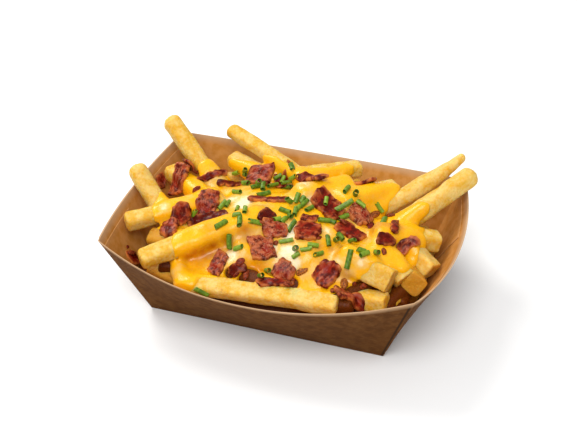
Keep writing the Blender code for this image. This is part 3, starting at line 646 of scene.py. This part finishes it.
def outline_distance(x, y, outline):
    """Distances in plan from places to a closed outline, positive inside it."""
    nearest, inside = np.inf, False
    for (ax, ay), (bx, by) in zip(outline, outline[1:] + outline[:1]):
        run_x, run_y = bx - ax, by - ay
        share = np.clip(((x - ax) * run_x + (y - ay) * run_y) / (run_x ** 2 + run_y ** 2), 0, 1)
        nearest = np.minimum(nearest, np.hypot(x - ax - share * run_x, y - ay - share * run_y))
        crosses = (ay > y) != (by > y)
        inside = inside ^ (crosses & (x < ax + (y - ay) * run_x / (run_y or 1)))
    return np.where(inside, nearest, -nearest)


def grown(heights, cells):
    """Each height raised to the highest one within a few cells."""
    for axis in (0, 1):
        heights = np.maximum.reduce([np.roll(heights, k, axis) for k in range(-cells, cells + 1)])
    return heights


def blurred(values, rounds, axes=(0, 1)):
    for _ in range(rounds):
        for axis in axes:
            values = (np.roll(values, 1, axis) + 2 * values + np.roll(values, -1, axis)) / 4
    return values


def heap_field():
    """The grid's places, the distance to the heap with its valleys filled, and the plain one."""
    axes = [np.arange(low, high, CHEESE_STEP) for low, high in zip(CHEESE_LOW, CHEESE_HIGH)]
    places = np.stack(np.meshgrid(*axes, indexing="ij"), -1)
    x, y, z = np.moveaxis(places, -1, 0)
    share = np.clip((abs(x / CORE_REACH[0]) ** 4 + abs(y / CORE_REACH[1]) ** 4) ** 0.25, 0, 1)
    plain = (z - core_height(share)) * CORE_SLOPE
    filled = plain.copy()
    inner = outline_distance(x, y, CHEESE_OUTLINE)
    reach = CHEESE_FILL[0] + (CHEESE_FILL[1] - CHEESE_FILL[0]) * ramp(inner, 0, CHEESE_INNER)
    for fry, style, _ in every_fry():
        low = np.minimum(fry[0], fry[1]) - fry[2] - CHEESE_BOX
        high = np.maximum(fry[0], fry[1]) + fry[2] + CHEESE_BOX
        part = tuple(slice(*np.searchsorted(axis, (a, b))) for axis, a, b in zip(axes, low, high))
        sides = fry_sides(fry, places[part])
        filled[part] = smooth_least(filled[part], box_distance(sides, CHEESE_ROUND), reach[part])
        plain[part] = np.minimum(plain[part], box_distance(sides, max(1.6, 0.6 * style[1])))
    return places, blurred(filled, 4, (0, 1, 2)), plain


def surface_net(field, origin, step):
    """A closed mesh of the field's zero surface, with one point in each cell that it crosses."""
    cells = tuple(n - 1 for n in field.shape)
    total = np.zeros(cells + (3,), np.float32)
    hits = np.zeros(cells, np.float32)
    for axis in range(3):
        for offset in np.ndindex(2, 2, 2):
            if offset[axis]:
                continue
            a, b = (field[tuple(slice(o + (far and k == axis), o + (far and k == axis) + cells[k])
                                for k, o in enumerate(offset))] for far in (0, 1))
            cut = (a < 0) != (b < 0)
            total += cut[..., None] * np.array(offset, np.float32)
            total[..., axis] += np.where(cut, a / np.where(cut, a - b, 1), 0)
            hits += cut
    crossed = hits > 0
    number = np.full(cells, -1)
    number[crossed] = np.arange(crossed.sum())
    points = origin + step * (np.argwhere(crossed) + total[crossed] / hits[crossed][:, None])
    return points, np.concatenate([net_faces(field < 0, number, axis) for axis in range(3)])


def net_faces(inside, number, axis):
    """The faces across the grid's edges along one axis, their fronts turned out."""
    order = (axis, (axis + 1) % 3, (axis + 2) % 3)
    inside, number = inside.transpose(order), number.transpose(order)
    low, high = inside[:-1, 1:-1, 1:-1], inside[1:, 1:-1, 1:-1]
    corners = np.stack([number[:, :-1, :-1], number[:, 1:, :-1], number[:, 1:, 1:], number[:, :-1, 1:]], -1)
    return np.concatenate([corners[low & ~high], corners[high & ~low][:, ::-1]])


def largest_body(points, faces):
    """The mesh without its loose scraps."""
    body, last = np.arange(len(points)), None
    while last is None or (body != last).any():
        last = body.copy()
        np.minimum.at(body, faces, last[faces].min(axis=1)[:, None])
        body = body[body]
    kept = body == np.bincount(body).argmax()
    return points[kept], (np.cumsum(kept) - 1)[faces[kept[faces[:, 0]]]]


def run_distance(places, start, end, radius):
    """Distances to a rounded run from one point to another."""
    along = np.subtract(end, start)
    share = np.clip((places - start) @ along / (along @ along), 0, 1)
    return np.linalg.norm(places - start - share[..., None] * along, axis=-1) - radius


def cheese_field(trees):
    """The distance to the cheese's skin, the one to the bare heap, and the heap's level in plan."""
    places, filled, plain = heap_field()
    z = places[..., 2]
    flat = places[:, :, 0] * (1, 1, 0)
    tops = np.where(plain < 0, z, CHEESE_LOW[2]).max(axis=2)
    uneven = CHEESE_UNEVEN * grains(flat, (1, 15, CHEESE_SEED), (0.6, 6, CHEESE_SEED + 1))
    streaks = np.maximum(0, grain(flat, 7, CHEESE_SEED + 2))
    inner = outline_distance(flat[..., 0], flat[..., 1], CHEESE_OUTLINE)
    inner = inner + 1.3 * grain(flat, 5, CHEESE_SEED + 3)
    thick = CHEESE_THIN + (CHEESE_THICK - CHEESE_THIN) * ramp(inner, 0, CHEESE_SWELL) + uneven
    near, far, deep = CHEESE_DEEP
    floor = blurred(grown(tops, 2), 2) - CHEESE_DROP - CHEESE_DRIPS * streaks - deep * ramp(inner, near, far)
    field = np.minimum(filled - thick[..., None], plain - CHEESE_COVER)
    field = smooth_most(field, -inner[..., None], CHEESE_LIP)
    field = smooth_most(field, floor[..., None] - z, CHEESE_LIP)
    for start, end, radius in CHEESE_RUNS:
        field = smooth_least(field, run_distance(places, start, end, radius), 2 * CHEESE_LIP)
    for pixel_x, pixel_y, radius in CHEESE_HOLLOWS:
        foot, _, toward = seen_place(trees, pixel_x, pixel_y)
        hollow = run_distance(places, np.array(foot), np.array(foot + toward * HOLLOW_LENGTH), radius)
        field = smooth_most(field, -hollow, CHEESE_LIP)
    shut = np.full(field.shape, 1.0)
    shut[1:-1, 1:-1, 1:-1] = field[1:-1, 1:-1, 1:-1]
    return shut, plain, blurred(tops, CHEESE_LEVEL)


def sampled(field, points):
    """The field's values at points, read at the nearest places of its grid."""
    spots = np.rint((points - np.array(CHEESE_LOW)) / CHEESE_STEP).astype(int)
    spots = np.clip(spots, 0, np.array(field.shape) - 1)
    return field[spots[:, 0], spots[:, 1], spots[:, 2]]


def patches(points, tree, rows):
    """For each point the greatest of soft round patches, which are placed behind pixels."""
    most = np.zeros(len(points))
    for pixel_x, pixel_y, reach, strength in rows:
        away = np.linalg.norm(points - seen_place([tree], pixel_x, pixel_y)[0], axis=1) / reach
        most = np.maximum(most, strength * (1 - ramp(away, 0.1, 1.4)))
    return most


def add_cheese(trees, material):
    field, plain, level = cheese_field(trees)
    points, faces = largest_body(*surface_net(field, np.array(CHEESE_LOW), CHEESE_STEP))
    depth = sampled(plain, points)
    inner = outline_distance(points[:, 0], points[:, 1], CHEESE_OUTLINE)
    pale = 0.35 * ramp(depth, 2.2, 6.5) + 0.25 * ramp(inner, 6, 20) * ramp(depth, 1.4, 3.0)
    faces = faces.tolist()
    tree = BVHTree.FromPolygons([Vector(p) for p in points], faces)
    # Pale cream pools, some of them painted highlights.
    pale = np.maximum(pale, patches(points, tree, PALE_POOLS_AND_HIGHLIGHTS))
    pale = pale * (0.9 + 0.4 * grain(points, 9, CHEESE_SEED + 5)) + 0.08 * grain(points, 5, CHEESE_SEED + 6)
    shade = patches(points, tree, SHADES) * (1 + 0.5 * grain(points, 4, CHEESE_SEED + 7))
    # Painted shade: cheese lying below the heap's level round it is coloured darker.
    recess = ramp(sampled(level[..., None] + np.zeros(field.shape), points) - points[:, 2], 1.0, 8.0)
    piece = add_piece("cheese", points, faces, material, "cheese", pale=np.clip(pale, 0, 1), recess=recess,
                      shade=np.clip(shade, 0, 1))
    smooth = piece.modifiers.new("Smooth", "SMOOTH")
    smooth.factor, smooth.iterations = 0.5, 3
    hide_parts("cheese_sauce")
    return piece


# Bacon


def tree_of(piece):
    """A search tree of a piece's final mesh, in millimetres."""
    depsgraph = bpy.context.evaluated_depsgraph_get()
    mesh = piece.evaluated_get(depsgraph).to_mesh()
    points = [v.co / MM for v in mesh.vertices]
    tree = BVHTree.FromPolygons(points, [tuple(p.vertices) for p in mesh.polygons])
    piece.evaluated_get(depsgraph).to_mesh_clear()
    return tree


def top_height(trees, x, y):
    """The height of the highest surface at a place in plan."""
    hits = [tree.ray_cast(Vector((x, y, SKY)), -UP)[0] for tree in trees]
    return max([0.0] + [hit.z for hit in hits if hit is not None])


def fitted_plane(trees, x, y, reach):
    """The plane nearest to the surface round a place, as its height there and its two slopes."""
    steps = np.linspace(-reach, reach, 5)
    terms = np.array([(1, dx, dy) for dx in steps for dy in steps])
    heights = np.array([top_height(trees, x + dx, y + dy) for _, dx, dy in terms])
    height, slope_x, slope_y = np.linalg.lstsq(terms, heights, rcond=None)[0]
    steep = max(1.0, math.hypot(slope_x, slope_y) / STEEPEST)
    return height, slope_x / steep, slope_y / steep


def bacon_sheet(number, row, trees, u, v):
    """The middle of a bacon's slab, wavy and sagged to what is under it, with its seat and normal."""
    x, y, length, width, heading, curl = row[:6]
    height, slope_x, slope_y = fitted_plane(trees, x, y, width * 0.45)
    normal = Vector((-slope_x, -slope_y, 1)).normalized()
    along = Vector((math.cos(math.radians(heading)), math.sin(math.radians(heading)), 0))
    along = (along - normal * along.dot(normal)).normalized()
    side = normal.cross(along)
    seat = np.stack([u * length / 2, v * width / 2, np.full(u.shape, number * 31.0)], -1)
    ragged_u = 1 + grains(seat * (0, 1, 1), (1.4, 5, 41), (1, 1.8, 42)) / length
    ragged_v = 1 + grains(seat * (1, 0, 1), (1.4, 5, 43), (1, 1.8, 44)) / width
    skew = random.Random(number).uniform(-BACON_SKEW, BACON_SKEW) * v * width / 2
    flat_u = u * np.sqrt(1 - BACON_CORNER * v * v) * length / 2 * ragged_u + skew
    flat_v = v * np.sqrt(1 - BACON_CORNER * u * u) * width / 2 * ragged_v
    ripple = 1.0 if length > 2 * width else 0.4
    rise = curl * u * u + ripple * grain(seat * (1, 0.35, 1), 5.0, 45) + 0.35 * grain(seat, 2.4, 46)
    middle = np.array((x, y, height)) + sum(part[..., None] * np.array(axis) for part, axis in
                                            ((flat_u, along), (flat_v, side), (rise, normal)))
    ground = np.array([[top_height(trees, *p[:2]) for p in line] for line in middle])
    middle[..., 2] += BACON_SAG * np.clip(blurred_edge(ground - middle[..., 2]), -BACON_REACH, BACON_REACH)
    middle[..., 2] += np.percentile(ground - BACON_SINK - middle[..., 2], BACON_REST)
    return middle, seat, np.array(normal)


def add_bacon(number, row, trees, material):
    """A crisp wavy slab that lies along the surface under it, a little sunk."""
    length, width, pale, char = *row[2:4], *row[6:]
    nu, nv = max(8, round(length / BACON_STEP)), max(6, round(width / BACON_STEP))
    u, v = np.meshgrid(np.linspace(-1, 1, nu + 1), np.linspace(-1, 1, nv + 1))
    middle, seat, normal = bacon_sheet(number, row, trees, u, v)
    slab = max(BACON_THICK[0], min(BACON_THICK[1], 0.6 + 0.2 * width))
    middle[..., 2] += slab / 2
    edge = np.maximum(abs(u) ** 10, abs(v) ** 10)
    thick = slab * (0.6 + 0.4 * np.sqrt(1 - edge)) * (1 + 0.2 * grain(seat, 4.0, 47))
    skin = normal * (thick / 2)[..., None]
    points = np.concatenate([(middle - skin).reshape(-1, 3), (middle + skin).reshape(-1, 3)])
    faces = sheet_faces(nu, nv, 0, True)
    pits = grains(points, (0.22, 2.4, 48), (0.05, 0.9, 49))
    points += point_normals(points, faces) * pits[:, None]
    rim = np.maximum(abs(u) ** 5, abs(v) ** 5)
    values = {"rim": rim, "strip_u": seat[..., 0], "strip_v": seat[..., 1], "pale": 0 * u + pale,
              "char": 0 * u + char, "own": 0 * u + number * 0.37}
    piece = add_piece(f"bacon_piece_{number:02d}", points, faces, material, "meat",
                      **{key: np.tile(value.ravel(), 2) for key, value in values.items()})
    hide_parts(f"bacon_{number:02d}")
    return piece


def blurred_edge(values):
    """Evens out a small grid of values, with its edges kept."""
    for _ in range(6):
        wide = np.pad(values, 1, mode="edge")
        values = (wide[:-2, 1:-1] + wide[2:, 1:-1] + wide[1:-1, :-2] + wide[1:-1, 2:] + 2 * values) / 6
    return values


# Chives


def camera_turn():
    """The camera's right, up and back directions."""
    azimuth, elevation, roll = (math.radians(a) for a in (CAMERA_AZIMUTH, CAMERA_ELEVATION, CAMERA_ROLL))
    level = math.cos(elevation)
    back = Vector((math.sin(azimuth) * level, -math.cos(azimuth) * level, math.sin(elevation)))
    right = Vector((math.cos(azimuth), math.sin(azimuth), 0))
    up = back.cross(right)
    cos, sin = math.cos(roll), math.sin(roll)
    return right * cos + up * sin, up * cos - right * sin, back


def camera_place():
    return Vector(CAMERA_TARGET) + camera_turn()[2] * CAMERA_DISTANCE


def seen_place(trees, pixel_x, pixel_y):
    """The nearest surface point behind a pixel of the photograph, its normal and the way back."""
    right, up, back = camera_turn()
    away = (right * (pixel_x - PHOTO_WIDTH / 2) - up * (pixel_y - PHOTO_HEIGHT / 2)) / FOCAL_PIXELS - back
    away.normalize()
    hits = [tree.ray_cast(camera_place(), away) for tree in trees]
    place, normal = min((hit for hit in hits if hit[0] is not None), key=lambda hit: hit[3])[:2]
    return place, normal, -away


def chive_direction(angle, seen, length, normal):
    """The chive's direction: flat on the surface, or on end where it looks short."""
    right, up, back = camera_turn()
    across = right * math.cos(math.radians(angle)) + up * math.sin(math.radians(angle))
    if seen <= CHIVE_ON_END:
        toward = math.sqrt(max(0.0, 1 - (seen * 0.4 / length) ** 2))
        return (across * math.sqrt(1 - toward ** 2) + back * toward).normalized()
    lean = -across.dot(normal) / max(0.35, back.dot(normal))
    return (across + back * max(-1.0, min(1.0, lean))).normalized()


def add_chives(trees, material):
    """Cut hollow stalks, moved along the line of sight until they rest on what is under them."""
    draw = random.Random(CHIVE_SEED)
    points, faces, inner, tone = [], [], [], []
    scale = CAMERA_DISTANCE / FOCAL_PIXELS
    for pixel_x, pixel_y, angle, seen in CHIVES:
        place, normal, toward = seen_place(trees, pixel_x, pixel_y)
        length = max(CHIVE_SHORTEST, seen * scale * (1.0 if seen <= CHIVE_ON_END else 1.05))
        along = chive_direction(angle, seen, length, normal)
        middle = place + toward * CHIVE_STEP
        for _ in range(CHIVE_TRIES):
            steps = [middle + along * length * (k / 8 - 0.5) for k in range(9)]
            lack = max(top_height(trees, p.x, p.y) + CHIVE_RADIUS * CHIVE_LIFT - p.z for p in steps)
            if lack <= 0:
                break
            middle += toward * min(lack, CHIVE_STEP)
        stalk, hollow = chive_skin(middle, along, length, draw)
        faces += chive_faces(len(points))
        points += list(stalk)
        inner += list(hollow)
        tone += [draw.random()] * len(stalk)
    piece = add_piece("chives", points, faces, material, "cheese", inner=inner, tone=tone)
    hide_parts("cheese_sauce")


def chive_skin(middle, along, length, draw):
    """A hollow stalk with open ends cut a little aslant, and for each point whether it is inside."""
    side = Matrix.Rotation(draw.uniform(0, math.tau), 3, along) @ along.orthogonal().normalized()
    radius = CHIVE_RADIUS * draw.uniform(0.86, 1.1)
    squash, bow = draw.uniform(0.78, 1.0), draw.uniform(-0.4, 0.4)
    slants = np.array((draw.uniform(-0.5, 0.5), draw.uniform(-0.5, 0.5)))
    u = np.array((*CHIVE_SHARES, *reversed(CHIVE_SHARES)))[:, None]
    inside = (np.arange(len(u)) >= len(CHIVE_SHARES))[:, None]
    angle = np.linspace(0, math.tau, CHIVE_SIDES, endpoint=False)
    cos, sin = (radius - CHIVE_WALL * inside) * np.cos(angle), (radius - CHIVE_WALL * inside) * np.sin(angle)
    slant = slants[(u > 0.5).astype(int)] * cos * abs(2 * u - 1)
    local = np.stack([(u - 0.5) * length + slant, cos + bow * (1 - (2 * u - 1) ** 2), sin * squash], -1)
    points = np.array(middle) + local.reshape(-1, 3) @ np.array((along, side, along.cross(side)))
    return points, np.broadcast_to(inside, cos.shape).ravel()


def chive_faces(start):
    """The faces of one stalk, whose last ring joins its first."""
    rings = 2 * len(CHIVE_SHARES)
    first = start + np.arange(CHIVE_SIDES)
    last, after = first + (rings - 1) * CHIVE_SIDES, np.roll(first, -1)
    seam = np.stack([last, np.roll(last, -1), after, first], -1).tolist()
    return tube_faces(rings, CHIVE_SIDES, start, capped=False) + seam


def add_crumbs(trees, material):
    """Small rough lumps that rest on what is behind their pixels."""
    draw = random.Random(CRUMB_SEED)
    points, faces, brown = [], [], []
    for number, (pixel_x, pixel_y, size, tone) in enumerate(CRUMBS):
        place, normal, _ = seen_place(trees, pixel_x, pixel_y)
        side = Matrix.Rotation(draw.uniform(0, math.tau), 3, normal) @ normal.orthogonal().normalized()
        radii = size / 2 * np.array((draw.uniform(0.9, 1.5), draw.uniform(0.65, 1.0), CRUMB_FLAT))
        faces += tube_faces(CRUMB_RINGS, CRUMB_SIDES, len(points))
        ball = crumb_ball(number) + (0, 0, CRUMB_LIFT)
        points += list(np.array(place) + ball * radii @ np.array((side, normal.cross(side), normal)))
        brown += [tone] * len(ball)
    add_piece("crumbs", points, faces, material, "meat", brown=brown)


def crumb_ball(number):
    """A lumpy ball of about one unit's radius, as rings along its first axis."""
    polar = np.linspace(CRUMB_TIP, math.pi - CRUMB_TIP, CRUMB_RINGS)[:, None]
    around = np.linspace(0, math.tau, CRUMB_SIDES, endpoint=False)[None]
    ball = np.stack([np.cos(polar) + 0 * around, np.sin(polar) * np.cos(around),
                     np.sin(polar) * np.sin(around)], -1).reshape(-1, 3)
    own = ball + number * 9.0
    return ball * (1 + grains(own, (0.4, 1.1, 61), (0.1, 0.5, 62)))[:, None]


# Materials

# The colour sockets among those of a Mix node.
MIX_A, MIX_B, MIX_RESULT = 6, 7, 2


class Look:
    """A node material that is built from its shader back."""

    def __init__(self, name, roughness, **sockets):
        self.material = bpy.data.materials.new(name)
        self.material.use_nodes = True
        self.tree = self.material.node_tree
        self.shader = self.tree.nodes["Principled BSDF"]
        self.shader.inputs["Roughness"].default_value = roughness
        for key, value in sockets.items():
            self.shader.inputs[key.replace("_", " ")].default_value = value
        self.place = self.add("ShaderNodeTexCoord").outputs["Object"]

    def add(self, kind, **settings):
        node = self.tree.nodes.new(kind)
        for key, value in settings.items():
            setattr(node, key, value)
        return node

    def link(self, source, socket):
        if isinstance(source, (int, float, tuple)):
            socket.default_value = source
        else:
            self.tree.links.new(source, socket)

    def noise(self, size, detail=2.0, stretch=(1, 1, 1)):
        """Noise in lumps of a size in millimetres."""
        mapping = self.add("ShaderNodeMapping")
        self.link(self.place, mapping.inputs["Vector"])
        mapping.inputs["Scale"].default_value = [s / (size * MM) for s in stretch]
        node = self.add("ShaderNodeTexNoise")
        self.link(mapping.outputs["Vector"], node.inputs["Vector"])
        node.inputs["Scale"].default_value = 1.0
        node.inputs["Detail"].default_value = detail
        return node.outputs["Fac"]

    def value(self, name):
        """The piece's own value of that name."""
        return self.add("ShaderNodeAttribute", attribute_name=name).outputs["Fac"]

    def sum(self, a, b, operation="ADD"):
        node = self.add("ShaderNodeMath", operation=operation)
        self.link(a, node.inputs[0])
        self.link(b, node.inputs[1])
        return node.outputs[0]

    def times(self, a, b):
        return self.sum(a, b, "MULTIPLY")

    def part(self, value, low, high, lowest=0.0, highest=1.0):
        """The value's share of the way from low to high, kept between two limits."""
        node = self.add("ShaderNodeMapRange", interpolation_type="SMOOTHSTEP")
        self.link(value, node.inputs["Value"])
        for key, number in (("From Min", low), ("From Max", high), ("To Min", lowest), ("To Max", highest)):
            node.inputs[key].default_value = number
        return node.outputs["Result"]

    def mix(self, share, a, b, blend="MIX"):
        node = self.add("ShaderNodeMix", data_type="RGBA", blend_type=blend)
        self.link(share, node.inputs["Factor"])
        self.link(a, node.inputs[MIX_A])
        self.link(b, node.inputs[MIX_B])
        return node.outputs[MIX_RESULT]

    def colour(self, source):
        self.link(source, self.shader.inputs["Base Color"])

    def roughness(self, source):
        self.link(source, self.shader.inputs["Roughness"])

    def bump(self, *heights):
        """Bumps, each as a height and how deep it is in millimetres."""
        normal = None
        for height, depth in heights:
            node = self.add("ShaderNodeBump")
            node.inputs["Distance"].default_value = depth * MM
            self.link(height, node.inputs["Height"])
            if normal:
                self.link(normal, node.inputs["Normal"])
            normal = node.outputs["Normal"]
        self.link(normal, self.shader.inputs["Normal"])


def board_look():
    look = Look("brown board", 0.9, Specular_IOR_Level=0.1)
    mottle = look.noise(5.0, 3.0)
    fibre = look.noise(0.5, 2.0, (0.15, 0.5, 1))
    # Painted shade: the outside is a much darker copy of the inside colour.
    inside = look.mix(look.part(mottle, 0.3, 0.7), (0.43, 0.172, 0.024, 1), (0.53, 0.24, 0.06, 1))
    outside = look.mix(look.part(mottle, 0.3, 0.7), (0.085, 0.028, 0.004, 1), (0.125, 0.046, 0.009, 1))
    base = look.mix(look.value("inner"), outside, inside)
    base = look.mix(look.part(fibre, 0.5, 0.75, 0.0, 0.12), base, (0.42, 0.24, 0.11, 1))
    # Painted shadow line along the outside seams.
    base = look.mix(look.value("seam"), base, (0.03, 0.012, 0.004, 1))
    look.colour(look.mix(look.value("rim"), base, (0.50, 0.31, 0.17, 1)))
    look.bump((fibre, 0.04), (mottle, 0.05))
    return look.material


def potato_look():
    look = Look("fried potato", 0.5, Subsurface_Weight=0.5, Subsurface_Scale=0.005,
                Subsurface_Radius=(1.0, 0.6, 0.2), Specular_IOR_Level=0.15)
    blotch, fine = look.noise(6.0, 4.0), look.noise(1.2)
    pale, golden, brown = (0.73, 0.52, 0.16, 1), (0.68, 0.37, 0.026, 1), (0.38, 0.125, 0.015, 1)
    tint = look.part(blotch, 0.35, 0.65, 0.0, 0.75)
    tint = look.sum(tint, look.part(look.value("tone"), 0.0, 1.0, -0.1, 0.2))
    tint = look.sum(tint, look.part(look.noise(1.8, 3.0), 0.35, 0.7, -0.15, 0.4))
    base = look.mix(tint, pale, golden)
    corner, end = look.value("corner"), look.value("near_end")
    fried = look.sum(look.times(corner, 0.45), look.times(end, 0.5))
    fried = look.times(fried, look.part(look.noise(3.5, 3.0), 0.38, 0.7))
    base = look.mix(fried, base, golden)
    spots = look.part(look.noise(2.0, 1.0), 0.64, 0.76, 0.0, 0.8)
    base = look.mix(look.times(spots, look.sum(fried, 0.2)), base, brown)
    # Painted shade: the deep value darkens fries to golden brown, then to near black in the gaps.
    base = look.mix(look.part(look.value("deep"), 0.0, 0.5, 0.0, 0.85), base, (0.52, 0.23, 0.012, 1))
    look.colour(look.mix(look.part(look.value("deep"), 0.5, 1.0), base, (0.11, 0.022, 0.001, 1)))
    look.roughness(look.part(fine, 0.3, 0.7, 0.4, 0.6))
    look.bump((blotch, 0.3), (look.noise(1.8, 3.0), 0.3), (fine, 0.4))
    return look.material


def cheese_look():
    look = Look("melted cheese", 0.3, Subsurface_Weight=0.25, Subsurface_Scale=0.003,
                Subsurface_Radius=(1.0, 0.6, 0.25), Specular_IOR_Level=0.35)
    deep, yellow, cream = (0.88, 0.43, 0.003, 1), (0.82, 0.48, 0.09, 1), (0.92, 0.78, 0.50, 1)
    pale = look.sum(look.value("pale"), look.part(look.noise(3.0, 4.0), 0.35, 0.65, -0.1, 0.12))
    # Painted shade: in recesses the deep yellow darkens towards orange-brown.
    deep = look.mix(look.value("recess"), deep, (0.66, 0.23, 0.002, 1))
    base = look.mix(look.part(pale, 0.05, 0.5), deep, yellow)
    base = look.mix(look.part(pale, 0.45, 0.95), base, cream)
    look.colour(look.mix(look.value("shade"), base, (0.5, 0.22, 0.12, 1), "MULTIPLY"))
    look.roughness(look.part(look.noise(6.0), 0.3, 0.7, 0.18, 0.34))
    look.bump((look.noise(3.5), 0.3), (look.noise(0.8, 1.0), 0.02))
    return look.material


def meat_look():
    look = Look("fried bacon", 0.4, Subsurface_Weight=0.06, Subsurface_Scale=0.001,
                Specular_IOR_Level=0.12)
    strip = look.add("ShaderNodeCombineXYZ")
    for key, name in (("X", "strip_u"), ("Y", "strip_v"), ("Z", "own")):
        scale = 1.0 if key == "Z" else MM
        look.link(look.times(look.value(name), scale), strip.inputs[key])
    look.place = strip.outputs[0]
    streaks, middling = look.noise(3.2, 3.0, (0.45, 1, 1)), look.noise(1.9, 3.0, (0.8, 1, 1))
    patches, fine = look.noise(5.0, 1.0), look.noise(0.8)
    maroon, red, pink = (0.085, 0.004, 0.001, 1), (0.23, 0.011, 0.003, 1), (0.45, 0.11, 0.042, 1)
    tan, black, fleck_and_glint = (0.55, 0.17, 0.035, 1), (0.03, 0.003, 0.002, 1), (0.62, 0.32, 0.17, 1)
    char, pale = look.value("char"), look.value("pale")
    mottle = look.sum(look.times(middling, 0.45), look.times(patches, 0.55))
    lean = look.sum(look.part(mottle, 0.38, 0.58), look.times(char, 0.5), "SUBTRACT")
    base = look.mix(look.part(lean, 0.0, 1.0), maroon, red)
    fatty = look.sum(look.times(streaks, 0.6), look.times(middling, 0.4))
    fatty = look.part(look.sum(fatty, look.times(pale, 0.22)), 0.55, 0.75)
    base = look.mix(fatty, base, pink)
    # Pale flecks: fat flecks, partly painted glints of light.
    fat_flecks_and_glints = look.times(look.part(fine, 0.5, 0.7), look.part(pale, 0.2, 0.7, 0.0, 0.5))
    base = look.mix(fat_flecks_and_glints, base, fleck_and_glint)
    edge = look.times(look.value("rim"), look.part(patches, 0.4, 0.62))
    base = look.mix(edge, base, tan)
    burnt = look.part(look.sum(look.times(char, 0.45), middling), 0.8, 1.05, 0.0, 0.85)
    look.colour(look.mix(burnt, base, black))
    look.roughness(look.part(fine, 0.3, 0.7, 0.18, 0.36))
    look.bump((streaks, 0.35), (middling, 0.2), (fine, 0.08))
    return look.material


def crumb_look():
    look = Look("crumbs", 0.45, Specular_IOR_Level=0.15)
    fine = look.noise(0.9, 3.0)
    red = look.mix(look.part(fine, 0.35, 0.65), (0.07, 0.006, 0.004, 1), (0.26, 0.025, 0.010, 1))
    brown = look.mix(look.part(fine, 0.35, 0.65), (0.14, 0.035, 0.008, 1), (0.46, 0.15, 0.025, 1))
    look.colour(look.mix(look.value("brown"), red, brown))
    look.bump((fine, 0.1))
    return look.material


def chive_look():
    look = Look("cut chives", 0.38, Specular_IOR_Level=0.35)
    streaks = look.noise(1.6)
    dark, bright, inside = (0.028, 0.09, 0.003, 1), (0.25, 0.38, 0.02, 1), (0.09, 0.17, 0.012, 1)
    tint = look.sum(look.part(streaks, 0.3, 0.7, 0.0, 0.4), look.times(look.value("tone"), 0.6))
    # The stalk's inside is a darker green: painted shade in the hollow.
    look.colour(look.mix(look.value("inner"), look.mix(tint, dark, bright), inside))
    look.bump((look.noise(0.5, 1.0), 0.05))
    return look.material


def floor_look():
    look = Look("pale floor", 0.9)
    look.colour(look.mix(look.noise(400.0), (0.93, 0.93, 0.93, 1), (0.9, 0.9, 0.9, 1)))
    return look.material


# Floor, camera and light


def add_floor(material):
    half = FLOOR_SIZE / 2 * MM
    corners = [(x, y, 0) for x, y in ((-half, -half), (half, -half), (half, half), (-half, half))]
    floor = add_object("floor", make_mesh("floor", corners, [(0, 1, 2, 3)]))
    floor.data.materials.append(material)
    floor.location.z = -FLOOR_DROP * MM


def add_camera():
    data = bpy.data.cameras.new("camera")
    data.sensor_width = SENSOR
    data.lens = SENSOR * FOCAL_PIXELS / PHOTO_WIDTH
    data.clip_start = 0.05
    camera = add_object("camera", data)
    turn = Matrix(camera_turn()).transposed().to_4x4()
    camera.matrix_world = Matrix.Translation(camera_place() * MM) @ turn
    bpy.context.scene.camera = camera


def add_lamp(name, place, size, power, colour):
    data = bpy.data.lights.new(name, "AREA")
    data.shape, data.size = "DISK", size
    data.energy, data.color = power, colour
    lamp = add_object(name, data)
    lamp.location = place
    lamp.rotation_euler = (Vector(LAMP_AIM) - Vector(place)).to_track_quat("-Z", "Y").to_euler()


def add_light():
    world = bpy.data.worlds.new("studio")
    world.use_nodes = True
    background = world.node_tree.nodes["Background"].inputs
    background["Color"].default_value = (1, 1, 1, 1)
    background["Strength"].default_value = WORLD_LIGHT
    bpy.context.scene.world = world
    for name, lamp in LAMPS.items():
        add_lamp(name, *lamp)
    bpy.context.scene.view_settings.view_transform = "Standard"


# The scene


def main():
    board, potato, melted, meat = board_look(), potato_look(), cheese_look(), meat_look()
    shell = add_shell(board)
    add_flaps(board)
    fries = add_fries(potato)
    cheese = add_cheese([tree_of(fries)], melted)
    trees = [tree_of(piece) for piece in (shell, fries, cheese)]
    for number, row in enumerate(BACON, start=1):
        trees.append(tree_of(add_bacon(number, row, trees, meat)))
    add_crumbs(trees, crumb_look())
    add_chives(trees, chive_look())
    add_floor(floor_look())
    add_camera()
    add_light()


main()
